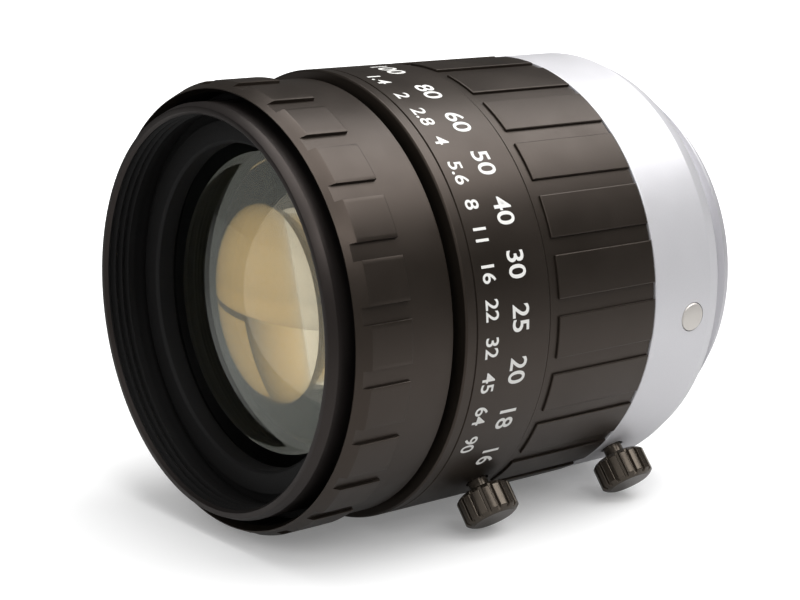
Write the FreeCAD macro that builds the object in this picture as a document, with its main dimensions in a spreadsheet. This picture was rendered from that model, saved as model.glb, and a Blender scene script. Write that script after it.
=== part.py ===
import FreeCAD, Part
import math
import os

import Sketcher

# C-mount machine vision lens.
# The optical axis is Y. The origin is the centre of the mount's flange plane; the front glass
# looks along -Y, the mount thread points along +Y, and +Z is up. Angles round the axis run from
# +X towards +Z. All lengths are in millimetres.

doc = FreeCAD.newDocument("lens")
sheet = doc.addObject("Spreadsheet::Sheet", "Sizes")


class Dim:
    """A number together with the spreadsheet expression that gives it."""

    def __init__(self, text, value):
        self.text = text
        self.value = value

    def __add__(self, other):
        other = dim(other)
        return Dim("(" + self.text + " + " + other.text + ")", self.value + other.value)

    def __sub__(self, other):
        other = dim(other)
        return Dim("(" + self.text + " - " + other.text + ")", self.value - other.value)

    def __mul__(self, other):
        other = dim(other)
        return Dim("(" + self.text + " * " + other.text + ")", self.value * other.value)

    def __truediv__(self, other):
        other = dim(other)
        return Dim("(" + self.text + " / " + other.text + ")", self.value / other.value)

    def __neg__(self):
        return Dim("(0 - " + self.text + ")", -self.value)


def dim(item):
    """A plain number as a Dim; a Dim comes back as it is."""
    if isinstance(item, Dim):
        return item
    return Dim("(" + repr(float(item)) + ")", float(item))


def cosine(angle):
    angle = dim(angle)
    return Dim("cos(" + angle.text + ")", math.cos(math.radians(angle.value)))


def sine(angle):
    angle = dim(angle)
    return Dim("sin(" + angle.text + ")", math.sin(math.radians(angle.value)))


def root(item):
    return Dim("sqrt(" + item.text + ")", math.sqrt(item.value))


sheet_rows = []


def size(alias, value):
    """One driving dimension: a row of the sheet with an alias."""
    sheet_rows.append(alias)
    row = str(len(sheet_rows))
    sheet.set("A" + row, alias)
    sheet.set("B" + row, str(value))
    sheet.setAlias("B" + row, alias)
    return Dim("Sizes." + alias, float(value))


def derived(alias, item):
    """A dimension that follows from others: a row of the sheet with a formula."""
    sheet_rows.append(alias)
    row = str(len(sheet_rows))
    sheet.set("A" + row, alias)
    sheet.set("B" + row, "=" + item.text.replace("Sizes.", ""))
    sheet.setAlias("B" + row, alias)
    return Dim("Sizes." + alias, item.value)


# Clearances shared by all the pieces.
running = size("running_clearance", 0.05)
seat_gap = size("seat_clearance", 0.02)
face_gap = size("ring_end_clearance", 0.10)

# Outer surfaces.
body_radius = size("body_radius", 14.75)
barrel_drop = size("mount_barrel_drop", 0.05)
barrel_radius = derived("mount_barrel_radius", body_radius - barrel_drop)
flange_width = size("mount_flange_width", 2.00)
spigot_radius = derived("mount_thread_radius", barrel_radius - flange_width)
spigot_length = size("mount_thread_length", 3.30)
spigot_chamfer = size("mount_thread_chamfer", 0.50)
spigot_wall = size("mount_thread_wall", 1.30)
spigot_bore = derived("mount_bore_radius", spigot_radius - spigot_wall)
barrel_length = size("mount_barrel_length", 6.32)
barrel_chamfer_depth = size("mount_chamfer_depth", 0.45)
barrel_chamfer_length = size("mount_chamfer_length", 1.18)

focus_gap = size("focus_ring_gap", 0.10)
focus_length = size("focus_ring_length", 9.13)
focus_land = size("focus_land_length", 0.73)
focus_land_drop = size("focus_land_drop", 0.15)
focus_land_radius = derived("focus_land_radius", body_radius - focus_land_drop)
focus_notch_depth = size("focus_notch_depth", 0.33)
focus_notch_floor = derived("focus_notch_floor_radius", body_radius - focus_notch_depth)
focus_notch_width = size("focus_notch_width", 1.13)
focus_notch_turn = size("focus_notch_angle", 2.65)
grip_count = size("grip_pad_count", 24)

label_gap = size("label_ring_gap", 0.05)
label_length = size("label_ring_length", 6.81)
label_line = size("label_line_distance", 0.79)
label_line_width = size("label_line_width", 0.12)

iris_gap = size("iris_ring_gap", 0.50)
iris_band_length = size("iris_band_length", 3.36)
iris_pad_length = size("iris_pad_length", 2.99)
iris_pad_drop = size("iris_pad_drop", 0.25)
iris_pad_radius = derived("iris_pad_radius", body_radius - iris_pad_drop)
iris_band_drop = size("iris_band_drop", 0.30)
iris_band_radius = derived("iris_band_radius", iris_pad_radius - iris_band_drop)
iris_bevel_length = size("iris_bevel_length", 0.90)
iris_bevel_depth = size("iris_bevel_depth", 0.41)
iris_lip_thickness = size("iris_lip_thickness", 0.72)
iris_groove_depth = size("front_groove_depth", 2.86)
iris_notch_drop = size("iris_notch_drop", 0.14)
iris_notch_width = size("iris_notch_width", 1.08)
iris_notch_turn = size("iris_notch_angle", 8.35)

rim_inset = size("front_rim_inset", 1.26)
rim_radius = derived("front_rim_radius", iris_pad_radius - rim_inset)
rim_length = size("front_rim_length", 3.94)
rim_chamfer_depth = size("front_rim_chamfer_depth", 0.24)
rim_chamfer_length = size("front_rim_chamfer_length", 0.56)
filter_wall = size("filter_thread_wall", 0.74)
filter_radius = derived("filter_thread_radius", rim_radius - filter_wall)
filter_depth = size("filter_thread_depth", 3.24)

# Stations along the axis, counted from the flange plane.
flange = dim(0)
barrel_front = flange - barrel_length
focus_rear = barrel_front - focus_gap
focus_front = focus_rear - focus_length
label_rear = focus_front - label_gap
label_front = label_rear - label_length
iris_rear = label_front - iris_gap
iris_step = iris_rear - iris_band_length
iris_bevel_rear = iris_step - iris_pad_length
iris_front = iris_bevel_rear - iris_bevel_length
groove_floor = iris_front + iris_groove_depth
rim_rear = groove_floor - face_gap
rim_front = rim_rear - rim_length
filter_floor = rim_front + filter_depth


# Building blocks.
def plane_of(body, role):
    for item in body.Origin.OriginFeatures:
        if item.Role == role:
            return item
    raise RuntimeError("no plane " + role)


def new_body(label):
    body = doc.addObject("PartDesign::Body", label)
    body.Label = label
    return body


seats = {}


def place(body, station, turn=None):
    """Puts a body at its station on the axis, turned about the axis."""
    seats[body.Name] = station
    angle = dim(0) if turn is None else turn
    turned = FreeCAD.Rotation(FreeCAD.Vector(0, 1, 0), angle.value)
    body.Placement = FreeCAD.Placement(FreeCAD.Vector(0, station.value, 0), turned)
    body.setExpression("Placement.Base.y", station.text)
    if turn is not None:
        body.setExpression("Placement.Rotation.Angle", angle.text)


def new_sketch(body, name, role, rise=None, turn=None):
    """A sketch on an origin plane, raised along its normal and turned about it."""
    sketch = body.newObject("Sketcher::SketchObject", name)
    sketch.AttachmentSupport = (plane_of(body, role), [""])
    sketch.MapMode = "FlatFace"
    rise = dim(0) if rise is None else rise
    angle = 0.0 if turn is None else turn.value
    turned = FreeCAD.Rotation(FreeCAD.Vector(0, 0, 1), angle)
    sketch.AttachmentOffset = FreeCAD.Placement(FreeCAD.Vector(0, 0, rise.value), turned)
    sketch.setExpression("AttachmentOffset.Base.z", rise.text)
    if turn is not None:
        sketch.setExpression("AttachmentOffset.Rotation.Angle", turn.text)
    return sketch


def fix_point(sketch, geo, end, x, y):
    """Fixes one end of a sketch edge to a pair of sizes."""
    if x.value == 0.0:
        sketch.addConstraint(Sketcher.Constraint("PointOnObject", geo, end, -2))
    else:
        row = sketch.addConstraint(Sketcher.Constraint("DistanceX", -1, 1, geo, end, x.value))
        sketch.setExpression("Constraints[" + str(row) + "]", x.text)
    if y.value == 0.0:
        sketch.addConstraint(Sketcher.Constraint("PointOnObject", geo, end, -1))
    else:
        row = sketch.addConstraint(Sketcher.Constraint("DistanceY", -1, 1, geo, end, y.value))
        sketch.setExpression("Constraints[" + str(row) + "]", y.text)


def draw(sketch, path):
    """Draws a closed path. Each item is (x, y) or (x, y, radius, via) for an arc to the next."""
    path = [(dim(item[0]), dim(item[1])) + tuple(item[2:]) for item in path]
    count = len(path)
    ends = []
    for index in range(count):
        here = path[index]
        there = path[(index + 1) % count]
        start = FreeCAD.Vector(here[0].value, here[1].value, 0)
        stop = FreeCAD.Vector(there[0].value, there[1].value, 0)
        if len(here) == 2:
            geo = sketch.addGeometry(Part.LineSegment(start, stop), False)
            ends.append((geo, 1, 2))
            continue
        via = FreeCAD.Vector(dim(here[3][0]).value, dim(here[3][1]).value, 0)
        geo = sketch.addGeometry(Part.Arc(start, via, stop), False)
        if sketch.getPoint(geo, 1).distanceToPoint(start) < 1e-6:
            ends.append((geo, 1, 2))
        else:
            ends.append((geo, 2, 1))
    for index in range(count):
        geo, first, last = ends[index]
        after, after_first, after_last = ends[(index + 1) % count]
        sketch.addConstraint(Sketcher.Constraint("Coincident", geo, last, after, after_first))
    for index in range(count):
        geo, first, last = ends[index]
        fix_point(sketch, geo, first, path[index][0], path[index][1])
        if len(path[index]) > 2:
            radius = path[index][2]
            row = sketch.addConstraint(Sketcher.Constraint("Radius", geo, radius.value))
            sketch.setExpression("Constraints[" + str(row) + "]", radius.text)


def turned_piece(label, seat, path):
    """A turned piece: path of (radius, station) about the optical axis, placed at its seat."""
    body = new_body(label)
    place(body, seat)
    sketch = new_sketch(body, label + "_profile", "XY_Plane")
    local = []
    for item in path:
        shifted = dim(item[1]) - seat
        if abs(shifted.value) < 1e-9:
            shifted = dim(0)
        if len(item) == 2:
            local.append((item[0], shifted))
            continue
        via = (item[3][0], dim(item[3][1]) - seat)
        local.append((item[0], shifted, item[2], via))
    draw(sketch, local)
    turn = body.newObject("PartDesign::Revolution", label + "_turning")
    turn.Profile = sketch
    turn.ReferenceAxis = (sketch, ["V_Axis"])
    turn.Angle = 360
    sketch.Visibility = False
    return body


def curve_of(height, depth):
    """Radius of a sphere whose surface stands out by a depth at a height from the axis."""
    return (height * height + depth * depth) / (depth * 2)


def sag(radius, height):
    """Depth of a spherical surface at a height from its axis."""
    return radius - root(radius * radius - height * height)


def round_row(body, feature, axis_role, count, name):
    """Repeats a feature evenly about an origin axis."""
    pattern = body.newObject("PartDesign::PolarPattern", name)
    pattern.Originals = [feature]
    pattern.Axis = (plane_of(body, axis_role), [""])
    pattern.Angle = 360
    pattern.Occurrences = int(count.value)
    pattern.setExpression("Occurrences", count.text)
    body.Tip = pattern
    return pattern


def pocket(body, sketch, depth, name, reverse=False):
    """A pocket that takes something off, or an error."""
    doc.recompute()
    before = body.Shape.Volume
    cut = body.newObject("PartDesign::Pocket", name)
    cut.Profile = sketch
    cut.Length = depth.value
    cut.setExpression("Length", depth.text)
    cut.Reversed = reverse
    sketch.Visibility = False
    doc.recompute()
    if body.Shape.Volume > before - 1e-5:
        raise RuntimeError(name + " cuts nothing")
    return cut


def box_path(x_low, x_high, y_low, y_high):
    return [(x_low, y_low), (x_high, y_low), (x_high, y_high), (x_low, y_high)]


def circle(sketch, x, y, radius):
    x = dim(x)
    y = dim(y)
    centre = FreeCAD.Vector(x.value, y.value, 0)
    ring = Part.Circle(centre, FreeCAD.Vector(0, 0, 1), radius.value)
    geo = sketch.addGeometry(ring, False)
    row = sketch.addConstraint(Sketcher.Constraint("Radius", geo, radius.value))
    sketch.setExpression("Constraints[" + str(row) + "]", radius.text)
    fix_point(sketch, geo, 3, x, y)


def radial_sketch(body, name, station, lean):
    """A sketch plane through the optical axis whose normal points out at the lean angle."""
    sketch = body.newObject("Sketcher::SketchObject", name)
    sketch.AttachmentSupport = (plane_of(body, "XY_Plane"), [""])
    sketch.MapMode = "FlatFace"
    along = station - seats[body.Name]
    turned = FreeCAD.Rotation(FreeCAD.Vector(0, 1, 0), lean.value)
    sketch.AttachmentOffset = FreeCAD.Placement(FreeCAD.Vector(0, along.value, 0), turned)
    sketch.setExpression("AttachmentOffset.Base.y", along.text)
    sketch.setExpression("AttachmentOffset.Rotation.Angle", lean.text)
    return sketch


def radial_hole(body, name, station, lean, radius, reach):
    """A round hole from the axis outwards through the wall."""
    sketch = radial_sketch(body, name + "_sketch", station, lean)
    circle(sketch, 0, 0, radius)
    return pocket(body, sketch, reach, name, True)


def notches(body, name, seat, start, length, floor, top, width, turn, count):
    """Straight grip notches along the axis, repeated round the ring."""
    sketch = new_sketch(body, name + "_sketch", "XZ_Plane", -(start - seat), turn)
    draw(sketch, box_path(floor, top, -width / 2, width / 2))
    cut = pocket(body, sketch, length, name + "_one")
    return round_row(body, cut, "Y_Axis", count, name)


# Mount barrel: the silver barrel with the flange and the mount thread.
focus_wall = size("focus_ring_wall", 2.15)
nut_radius = derived("nut_outer_radius", body_radius - focus_wall)
snap_height = size("snap_ring_seat_height", 0.40)
snap_radius = derived("snap_ring_outer_radius", nut_radius + snap_height)
snap_bite = size("snap_ring_bite", 0.25)
snap_inner = derived("snap_ring_inner_radius", nut_radius - snap_bite)
snap_thickness = size("snap_ring_thickness", 0.40)
snap_distance = size("snap_ring_distance", 0.32)
snap_opening = size("snap_ring_opening", 3.0)
nut_end_distance = size("nut_end_distance", 3.80)
pin_radius = size("guide_pin_radius", 0.95)
pin_distance = size("guide_pin_distance", 2.75)
pin_angle = size("guide_pin_angle", -6.2)
pin_proud = size("guide_pin_proud", 0.10)
screw_angle = size("lock_screw_angle", 50.9)
screw_neck = size("lock_screw_neck_radius", 0.65)
focus_screw_distance = size("focus_screw_distance", 1.72)
focus_screw_station = barrel_front + focus_screw_distance
iris_screw_distance = size("iris_screw_distance", 1.20)

nut_bore_end = -nut_end_distance + running
snap_front = barrel_front + snap_distance
snap_rear = snap_front + snap_thickness
pin_lean = dim(90) - pin_angle
screw_lean = dim(90) + screw_angle
nut_hole = nut_radius + running
cut_margin = size("cutting_margin", 1.00)
through = body_radius + cut_margin * 2

mount_barrel = turned_piece("mount_barrel", flange, [
    (spigot_radius, flange),
    (spigot_radius, spigot_length - spigot_chamfer),
    (spigot_radius - spigot_chamfer, spigot_length),
    (spigot_bore, spigot_length),
    (spigot_bore, nut_bore_end),
    (nut_hole, nut_bore_end),
    (nut_hole, snap_rear + seat_gap),
    (snap_radius + seat_gap, snap_rear + seat_gap),
    (snap_radius + seat_gap, snap_front - seat_gap),
    (nut_hole, snap_front - seat_gap),
    (nut_hole, barrel_front),
    (barrel_radius, barrel_front),
    (barrel_radius, -barrel_chamfer_length),
    (barrel_radius - barrel_chamfer_depth, flange),
])
radial_hole(mount_barrel, "guide_pin_hole", -pin_distance, pin_lean, pin_radius + seat_gap / 2, through)
radial_hole(mount_barrel, "focus_screw_hole", focus_screw_station, screw_lean,
            screw_neck + running, through)

# Guide pin: stands a little proud of the barrel and runs in the optical barrel's slot.
nut_wall = size("nut_wall", 1.40)
slot_barrel_radius = derived("focus_thread_radius", nut_radius - nut_wall)
pin_reach = size("guide_pin_reach", 0.80)

guide_pin = new_body("guide_pin")
place(guide_pin, -pin_distance, pin_lean)
pin_sketch = new_sketch(guide_pin, "guide_pin_profile", "XZ_Plane")
pin_chamfer = size("guide_pin_chamfer", 0.15)
pin_top = barrel_radius + pin_proud
pin_foot = slot_barrel_radius - pin_reach
draw(pin_sketch, [
    (0, pin_foot),
    (pin_radius - pin_chamfer, pin_foot),
    (pin_radius, pin_foot + pin_chamfer),
    (pin_radius, pin_top - pin_chamfer),
    (pin_radius - pin_chamfer, pin_top),
    (0, pin_top),
])
pin_turn = guide_pin.newObject("PartDesign::Revolution", "guide_pin_turning")
pin_turn.Profile = pin_sketch
pin_turn.ReferenceAxis = (pin_sketch, ["V_Axis"])
pin_turn.Angle = 360

# Snap ring: an open ring that keeps the nut in the barrel.
focus_snap_ring = turned_piece("focus_snap_ring", snap_front, [
    (snap_inner, snap_front),
    (snap_radius, snap_front),
    (snap_radius, snap_rear),
    (snap_inner, snap_rear),
])
gap_sketch = new_sketch(focus_snap_ring, "snap_opening_sketch", "XZ_Plane", snap_thickness)
draw(gap_sketch, box_path(snap_inner - cut_margin, snap_radius + cut_margin, -snap_opening / 2,
                          snap_opening / 2))
pocket(focus_snap_ring, gap_sketch, snap_thickness * 3, "snap_opening")

# Focus ring: long grip pads, a front land and a recess over the optical barrel's flange.
flange_height = size("optical_flange_height", 0.60)
flange_radius = derived("optical_flange_radius", nut_radius + flange_height)
flange_front_distance = size("optical_flange_front", 0.60)
flange_length = size("optical_flange_length", 1.60)

flange_front = label_rear - flange_front_distance
flange_rear = flange_front + flange_length
recess_radius = derived("focus_recess_radius", flange_radius + running * 3)
recess_floor = flange_rear + face_gap * 2
focus_chamfer = size("focus_ring_edge", 0.12)

focus_ring = turned_piece("focus_ring", focus_front, [
    (nut_radius, focus_rear),
    (nut_radius, recess_floor),
    (recess_radius, recess_floor),
    (recess_radius, focus_front),
    (focus_land_radius, focus_front),
    (focus_land_radius, focus_front + focus_land),
    (body_radius, focus_front + focus_land),
    (body_radius, focus_rear - focus_chamfer),
    (body_radius - focus_chamfer, focus_rear),
])
notches(focus_ring, "focus_notches", focus_front, focus_front + focus_land,
        focus_length, focus_notch_floor, body_radius + cut_margin, focus_notch_width,
        focus_notch_turn, grip_count)

# Helicoid nut: turns with the focus ring and drives the optical barrel.
nut_bore = slot_barrel_radius + running
snap_groove_floor = snap_inner - face_gap
helicoid_nut = turned_piece("helicoid_nut", recess_floor, [
    (nut_bore, recess_floor),
    (nut_radius, recess_floor),
    (nut_radius, snap_front - running),
    (snap_groove_floor, snap_front - running),
    (snap_groove_floor, snap_rear + running),
    (nut_radius, snap_rear + running),
    (nut_radius, -nut_end_distance),
    (nut_bore, -nut_end_distance),
])

# Optical barrel: carries the optics and the iris, slides on the guide pin.
tube_drop = size("iris_tube_drop", 0.60)
tube_radius = derived("iris_tube_radius", nut_radius - tube_drop)
tube_wall = size("iris_tube_wall", 0.50)
tube_bore = derived("iris_tube_bore", tube_radius - tube_wall)
iris_shoulder_distance = size("iris_shoulder_distance", 0.45)
rear_wall = size("optical_barrel_wall", 1.20)
rear_bore = derived("rear_bore_radius", slot_barrel_radius - rear_wall)
barrel_tail = size("optical_barrel_tail", 3.20)
pin_slot_width = size("pin_slot_clearance", 0.05)
pin_slot_end = size("pin_slot_end_clearance", 0.05)
drive_distance = size("iris_drive_distance", 3.30)
drive_radius = size("iris_drive_radius", 0.65)
iris_turn_range = size("iris_turn_range", 48.0)
drive_angle = size("iris_drive_angle", 200.0)

tail_end = barrel_tail
shoulder = flange_front + iris_shoulder_distance
drive_station = label_rear - drive_distance
relief = size("optical_barrel_relief", 0.30)

optical_barrel = turned_piece("optical_barrel", flange_front, [
    (tube_radius, rim_rear),
    (tube_radius, flange_front),
    (flange_radius, flange_front),
    (flange_radius, flange_rear),
    (slot_barrel_radius, flange_rear),
    (slot_barrel_radius, tail_end - relief),
    (slot_barrel_radius - relief, tail_end),
    (rear_bore, tail_end),
    (rear_bore, shoulder),
    (tube_bore, shoulder),
    (tube_bore, rim_rear),
])
slot_front = -pin_distance - pin_radius - pin_slot_end
slot_half = pin_radius + pin_slot_width
slot_sketch = radial_sketch(optical_barrel, "pin_slot_sketch", flange, pin_lean)
draw(slot_sketch, box_path(-slot_half, slot_half, slot_front, tail_end + cut_margin))
pocket(optical_barrel, slot_sketch, through, "pin_slot", True)

# The iris drive screw sweeps this opening in the tube.
sweep = new_sketch(optical_barrel, "drive_slot_sketch", "XZ_Plane",
                   -(drive_station - drive_radius - face_gap - flange_front))
sweep_margin = size("drive_slot_margin", 4.0)
sweep_start = drive_angle - sweep_margin
sweep_stop = drive_angle + iris_turn_range + sweep_margin
sweep_middle = (sweep_start + sweep_stop) / 2
sweep_inner = tube_bore - tube_wall
sweep_outer = tube_radius + tube_wall
draw(sweep, [
    (sweep_outer * cosine(sweep_start), sweep_outer * sine(sweep_start), sweep_outer,
     (sweep_outer * cosine(sweep_middle), sweep_outer * sine(sweep_middle))),
    (sweep_outer * cosine(sweep_stop), sweep_outer * sine(sweep_stop)),
    (sweep_inner * cosine(sweep_stop), sweep_inner * sine(sweep_stop), sweep_inner,
     (sweep_inner * cosine(sweep_middle), sweep_inner * sine(sweep_middle))),
    (sweep_inner * cosine(sweep_start), sweep_inner * sine(sweep_start)),
])
pocket(optical_barrel, sweep, (drive_radius + face_gap) * 2, "drive_slot")

# Label ring: sits on the optical barrel's flange.
label_edge = size("label_ring_edge", 0.10)
label_line_depth = size("label_line_depth", 0.08)
label_ring = turned_piece("label_ring", label_rear, [
    (flange_radius, label_front),
    (body_radius - label_edge, label_front),
    (body_radius, label_front + label_edge),
    (body_radius, label_front + label_line),
    (body_radius - label_line_depth, label_front + label_line),
    (body_radius - label_line_depth, label_front + label_line + label_line_width),
    (body_radius, label_front + label_line + label_line_width),
    (body_radius, label_rear - label_edge),
    (body_radius - label_edge, label_rear),
    (flange_radius, label_rear),
])
iris_screw_station = label_rear - iris_screw_distance
radial_hole(label_ring, "iris_screw_hole", iris_screw_station, screw_lean,
            screw_neck + running, through)

# Iris ring: bevel, grip pads, smooth band and the skirt under the label ring.
skirt_drop = size("iris_skirt_drop", 0.20)
skirt_radius = derived("iris_skirt_radius", flange_radius - skirt_drop)
skirt_bore = tube_radius + face_gap
lip_flare = size("iris_lip_flare", 0.56)
lip_outer = iris_pad_radius - iris_bevel_depth
lip_inner = iris_pad_radius - iris_lip_thickness
iris_band_edge = size("iris_band_edge", 0.10)

iris_ring = turned_piece("iris_ring", iris_rear, [
    (skirt_bore, groove_floor),
    (lip_inner, groove_floor),
    (lip_inner, iris_front + lip_flare),
    (lip_outer - seat_gap * 3, iris_front),
    (lip_outer, iris_front),
    (iris_pad_radius, iris_bevel_rear),
    (iris_pad_radius, iris_step),
    (iris_band_radius, iris_step),
    (iris_band_radius, iris_rear - iris_band_edge),
    (iris_band_radius - iris_band_edge, iris_rear),
    (skirt_radius, iris_rear),
    (skirt_radius, flange_front - face_gap),
    (skirt_bore, flange_front - face_gap),
])
notches(iris_ring, "iris_notches", iris_rear, iris_front - cut_margin,
        iris_bevel_length + iris_pad_length + cut_margin,
        iris_band_radius - iris_notch_drop, iris_pad_radius + cut_margin, iris_notch_width,
        iris_notch_turn, grip_count)
drive_lean = dim(90) - drive_angle
radial_hole(iris_ring, "drive_screw_hole", drive_station, drive_lean, drive_radius + seat_gap / 2,
            through)

# Front cell: the rim with the filter thread and the tube that holds the front glass.
front_cell_wall = size("front_cell_wall", 0.63)
lens_one_radius = derived("front_glass_radius", tube_bore - front_cell_wall)
doublet_step = size("doublet_step", 1.50)
doublet_radius = derived("doublet_radius", lens_one_radius - doublet_step)
cell_tail_drop = size("front_cell_tail_drop", 1.00)
cell_wall_radius = derived("front_cell_tail_radius", tube_bore - cell_tail_drop)
front_cell_step = size("front_cell_step_distance", 3.20)
front_cell_thread = size("front_cell_thread_length", 7.00)
front_cell_tail = size("front_cell_tail_length", 2.00)
filter_relief = size("filter_relief_chamfer", 0.20)
filter_thread_length = size("filter_thread_length", 2.04)
run_out_depth = size("filter_run_out_depth", 0.25)

filter_thread_end = rim_front + filter_relief + filter_thread_length
run_out_radius = filter_radius + run_out_depth
cell_step = filter_floor + front_cell_step
cell_thread_end = rim_rear + front_cell_thread
cell_end = cell_thread_end + front_cell_tail
cell_bore = lens_one_radius + seat_gap
doublet_bore = doublet_radius + seat_gap

front_cell = turned_piece("front_cell", rim_rear, [
    (run_out_radius, filter_floor),
    (run_out_radius, filter_thread_end),
    (filter_radius, filter_thread_end),
    (filter_radius, rim_front + filter_relief),
    (filter_radius + filter_relief, rim_front),
    (rim_radius - rim_chamfer_depth, rim_front),
    (rim_radius, rim_front + rim_chamfer_length),
    (rim_radius, rim_rear),
    (tube_bore - seat_gap, rim_rear),
    (tube_bore - seat_gap, cell_thread_end),
    (cell_wall_radius, cell_thread_end),
    (cell_wall_radius, cell_end),
    (doublet_bore, cell_end),
    (doublet_bore, cell_step),
    (cell_bore, cell_step),
    (cell_bore, filter_floor),
])

# Front glass.
front_glass_bulge = size("front_glass_bulge", 1.90)
front_glass_hollow = size("front_glass_rear_bulge", 0.725)
front_vertex_drop = size("front_glass_drop", 2.37)
lens_one_vertex = rim_front + front_vertex_drop
lens_one_seat = cell_step
clear_step = size("rear_clear_step", 1.57)
clear_height = derived("rear_clear_radius", lens_one_radius - clear_step)
lens_one_front = derived("front_glass_curve", curve_of(lens_one_radius, front_glass_bulge))
lens_one_rear = derived("front_glass_rear_curve", curve_of(clear_height, front_glass_hollow))


def lens_surface(vertex, curve, height, bulge):
    """A spherical surface from the axis to a height: its vertex row, its edge and its middle."""
    depth = sag(curve, height)
    middle = height / 2
    middle_depth = sag(curve, middle)
    if bulge == "front":
        return vertex + depth, (middle, vertex + middle_depth)
    return vertex - depth, (middle, vertex - middle_depth)


lens_one_edge, lens_one_via = lens_surface(lens_one_vertex, lens_one_front, lens_one_radius, "front")
lens_one_rear_vertex = lens_one_seat - sag(lens_one_rear, clear_height)
lens_one_rear_via = (clear_height / 2, lens_one_rear_vertex + sag(lens_one_rear, clear_height / 2))
lens_1 = turned_piece("lens_1", lens_one_seat, [
    (0, lens_one_vertex, lens_one_front, lens_one_via),
    (lens_one_radius, lens_one_edge),
    (lens_one_radius, lens_one_seat),
    (clear_height, lens_one_seat, lens_one_rear, lens_one_rear_via),
    (0, lens_one_rear_vertex),
])

# Front retaining ring: its neck end meets the front glass.
retain_inset = size("front_retainer_inset", 0.50)
retain_radius = derived("front_retainer_radius", filter_radius - retain_inset)
retain_lap = size("front_glass_lap", 0.37)
retain_bore = derived("front_retainer_bore", lens_one_radius - retain_lap)
retain_height = size("front_retainer_height", 0.40)
retain_bevel = size("front_retainer_bevel", 0.18)
glass_contact = lens_one_vertex + sag(lens_one_front, retain_bore)
front_retaining_ring = turned_piece("front_retaining_ring", filter_floor, [
    (retain_bore + retain_bevel, filter_floor - retain_height),
    (retain_radius, filter_floor - retain_height),
    (retain_radius, filter_floor),
    (lens_one_radius, filter_floor),
    (lens_one_radius, glass_contact),
    (retain_bore, glass_contact),
    (retain_bore, filter_floor - retain_height + retain_bevel),
])

# Cemented pair behind the front glass.
doublet_bulge = size("doublet_front_bulge", 2.815)
cement_bulge = size("doublet_cement_bulge", 1.113)
doublet_hollow = size("doublet_rear_hollow", 1.075)
doublet_gap = size("doublet_air_gap", 0.35)
doublet_thickness = size("doublet_front_thickness", 4.0)
doublet_rear_thickness = size("doublet_rear_thickness", 1.0)
doublet_rim = size("doublet_rear_rim", 1.97)
rear_flat = derived("doublet_rear_height", doublet_radius - doublet_rim)
doublet_front_curve = derived("doublet_front_curve", curve_of(doublet_radius, doublet_bulge))
cement_curve = derived("doublet_cement_curve", curve_of(doublet_radius, cement_bulge))
doublet_rear_curve = derived("doublet_rear_curve", curve_of(rear_flat, doublet_hollow))

pair_vertex = lens_one_rear_vertex + doublet_gap
pair_edge, pair_via = lens_surface(pair_vertex, doublet_front_curve, doublet_radius, "front")
cement_vertex = pair_vertex + doublet_thickness
cement_edge, cement_via = lens_surface(cement_vertex, cement_curve, doublet_radius, "rear")
lens_2 = turned_piece("lens_2", pair_vertex, [
    (0, pair_vertex, doublet_front_curve, pair_via),
    (doublet_radius, pair_edge),
    (doublet_radius, cement_edge, cement_curve, cement_via),
    (0, cement_vertex),
])
pair_rear_vertex = cement_vertex + doublet_rear_thickness
pair_rear_edge = pair_rear_vertex + sag(doublet_rear_curve, rear_flat)
pair_rear_via = (rear_flat / 2, pair_rear_vertex + sag(doublet_rear_curve, rear_flat / 2))
lens_3 = turned_piece("lens_3", pair_rear_vertex, [
    (0, cement_vertex, cement_curve, cement_via),
    (doublet_radius, cement_edge),
    (doublet_radius, pair_rear_edge),
    (rear_flat, pair_rear_edge, doublet_rear_curve, pair_rear_via),
    (0, pair_rear_vertex),
])
doublet_retainer_length = size("doublet_retainer_length", 0.60)
doublet_retaining_ring = turned_piece("doublet_retaining_ring", pair_rear_edge, [
    (rear_flat, pair_rear_edge),
    (doublet_radius, pair_rear_edge),
    (doublet_radius, pair_rear_edge + doublet_retainer_length),
    (rear_flat, pair_rear_edge + doublet_retainer_length),
])

# Iris.
# The blades lie one behind the other between the cam ring in front and the base plate behind.
blade_count = size("blade_count", 8)
blade_thickness = size("blade_thickness", 0.08)
blade_pitch = size("blade_pitch", 0.14)
pivot_inset = size("blade_pivot_inset", 0.90)
pivot_circle = derived("blade_pivot_circle", tube_bore - pivot_inset)
blade_reach = size("blade_inner_reach", 3.40)
blade_bore = derived("blade_inner_radius", pivot_circle - blade_reach)
blade_band_inset = size("blade_band_inset", 0.80)
blade_band = derived("blade_outer_radius", pivot_circle - blade_band_inset)
blade_head_margin = size("blade_head_margin", 0.45)
blade_head = derived("blade_head_radius", pivot_circle + blade_head_margin)
head_start_angle = size("blade_head_start_angle", -3.0)
head_stop_angle = size("blade_head_stop_angle", 20.0)
band_start_angle = size("blade_band_start_angle", 26.0)
tip_angle = size("blade_tip_angle", 126.0)
blade_turn_range = size("blade_turn_range", 34.0)
blade_pin_radius = size("blade_pin_radius", 0.35)
blade_pin_gap = size("blade_pin_clearance", 0.06)
drive_arm = size("blade_drive_arm", 3.00)
drive_arm_angle = size("blade_drive_angle", 98.5)
plate_thickness = size("iris_plate_thickness", 0.60)
iris_phase = size("iris_phase_angle", 12.0)

plate_front = shoulder - plate_thickness
blade_space = size("blade_space", 1.25)
cam_rear = plate_front - blade_space
cam_front = cam_rear - plate_thickness
cam_rim_front = size("cam_rim_length", 2.10)
cam_radius = tube_bore - face_gap
cam_rim_wall = size("cam_rim_wall", 0.60)
cam_rim_bore = derived("cam_rim_bore", tube_bore - cam_rim_wall)
cam_margin = size("cam_bore_margin", 0.20)
cam_bore = derived("cam_plate_bore", blade_bore + cam_margin)

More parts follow.
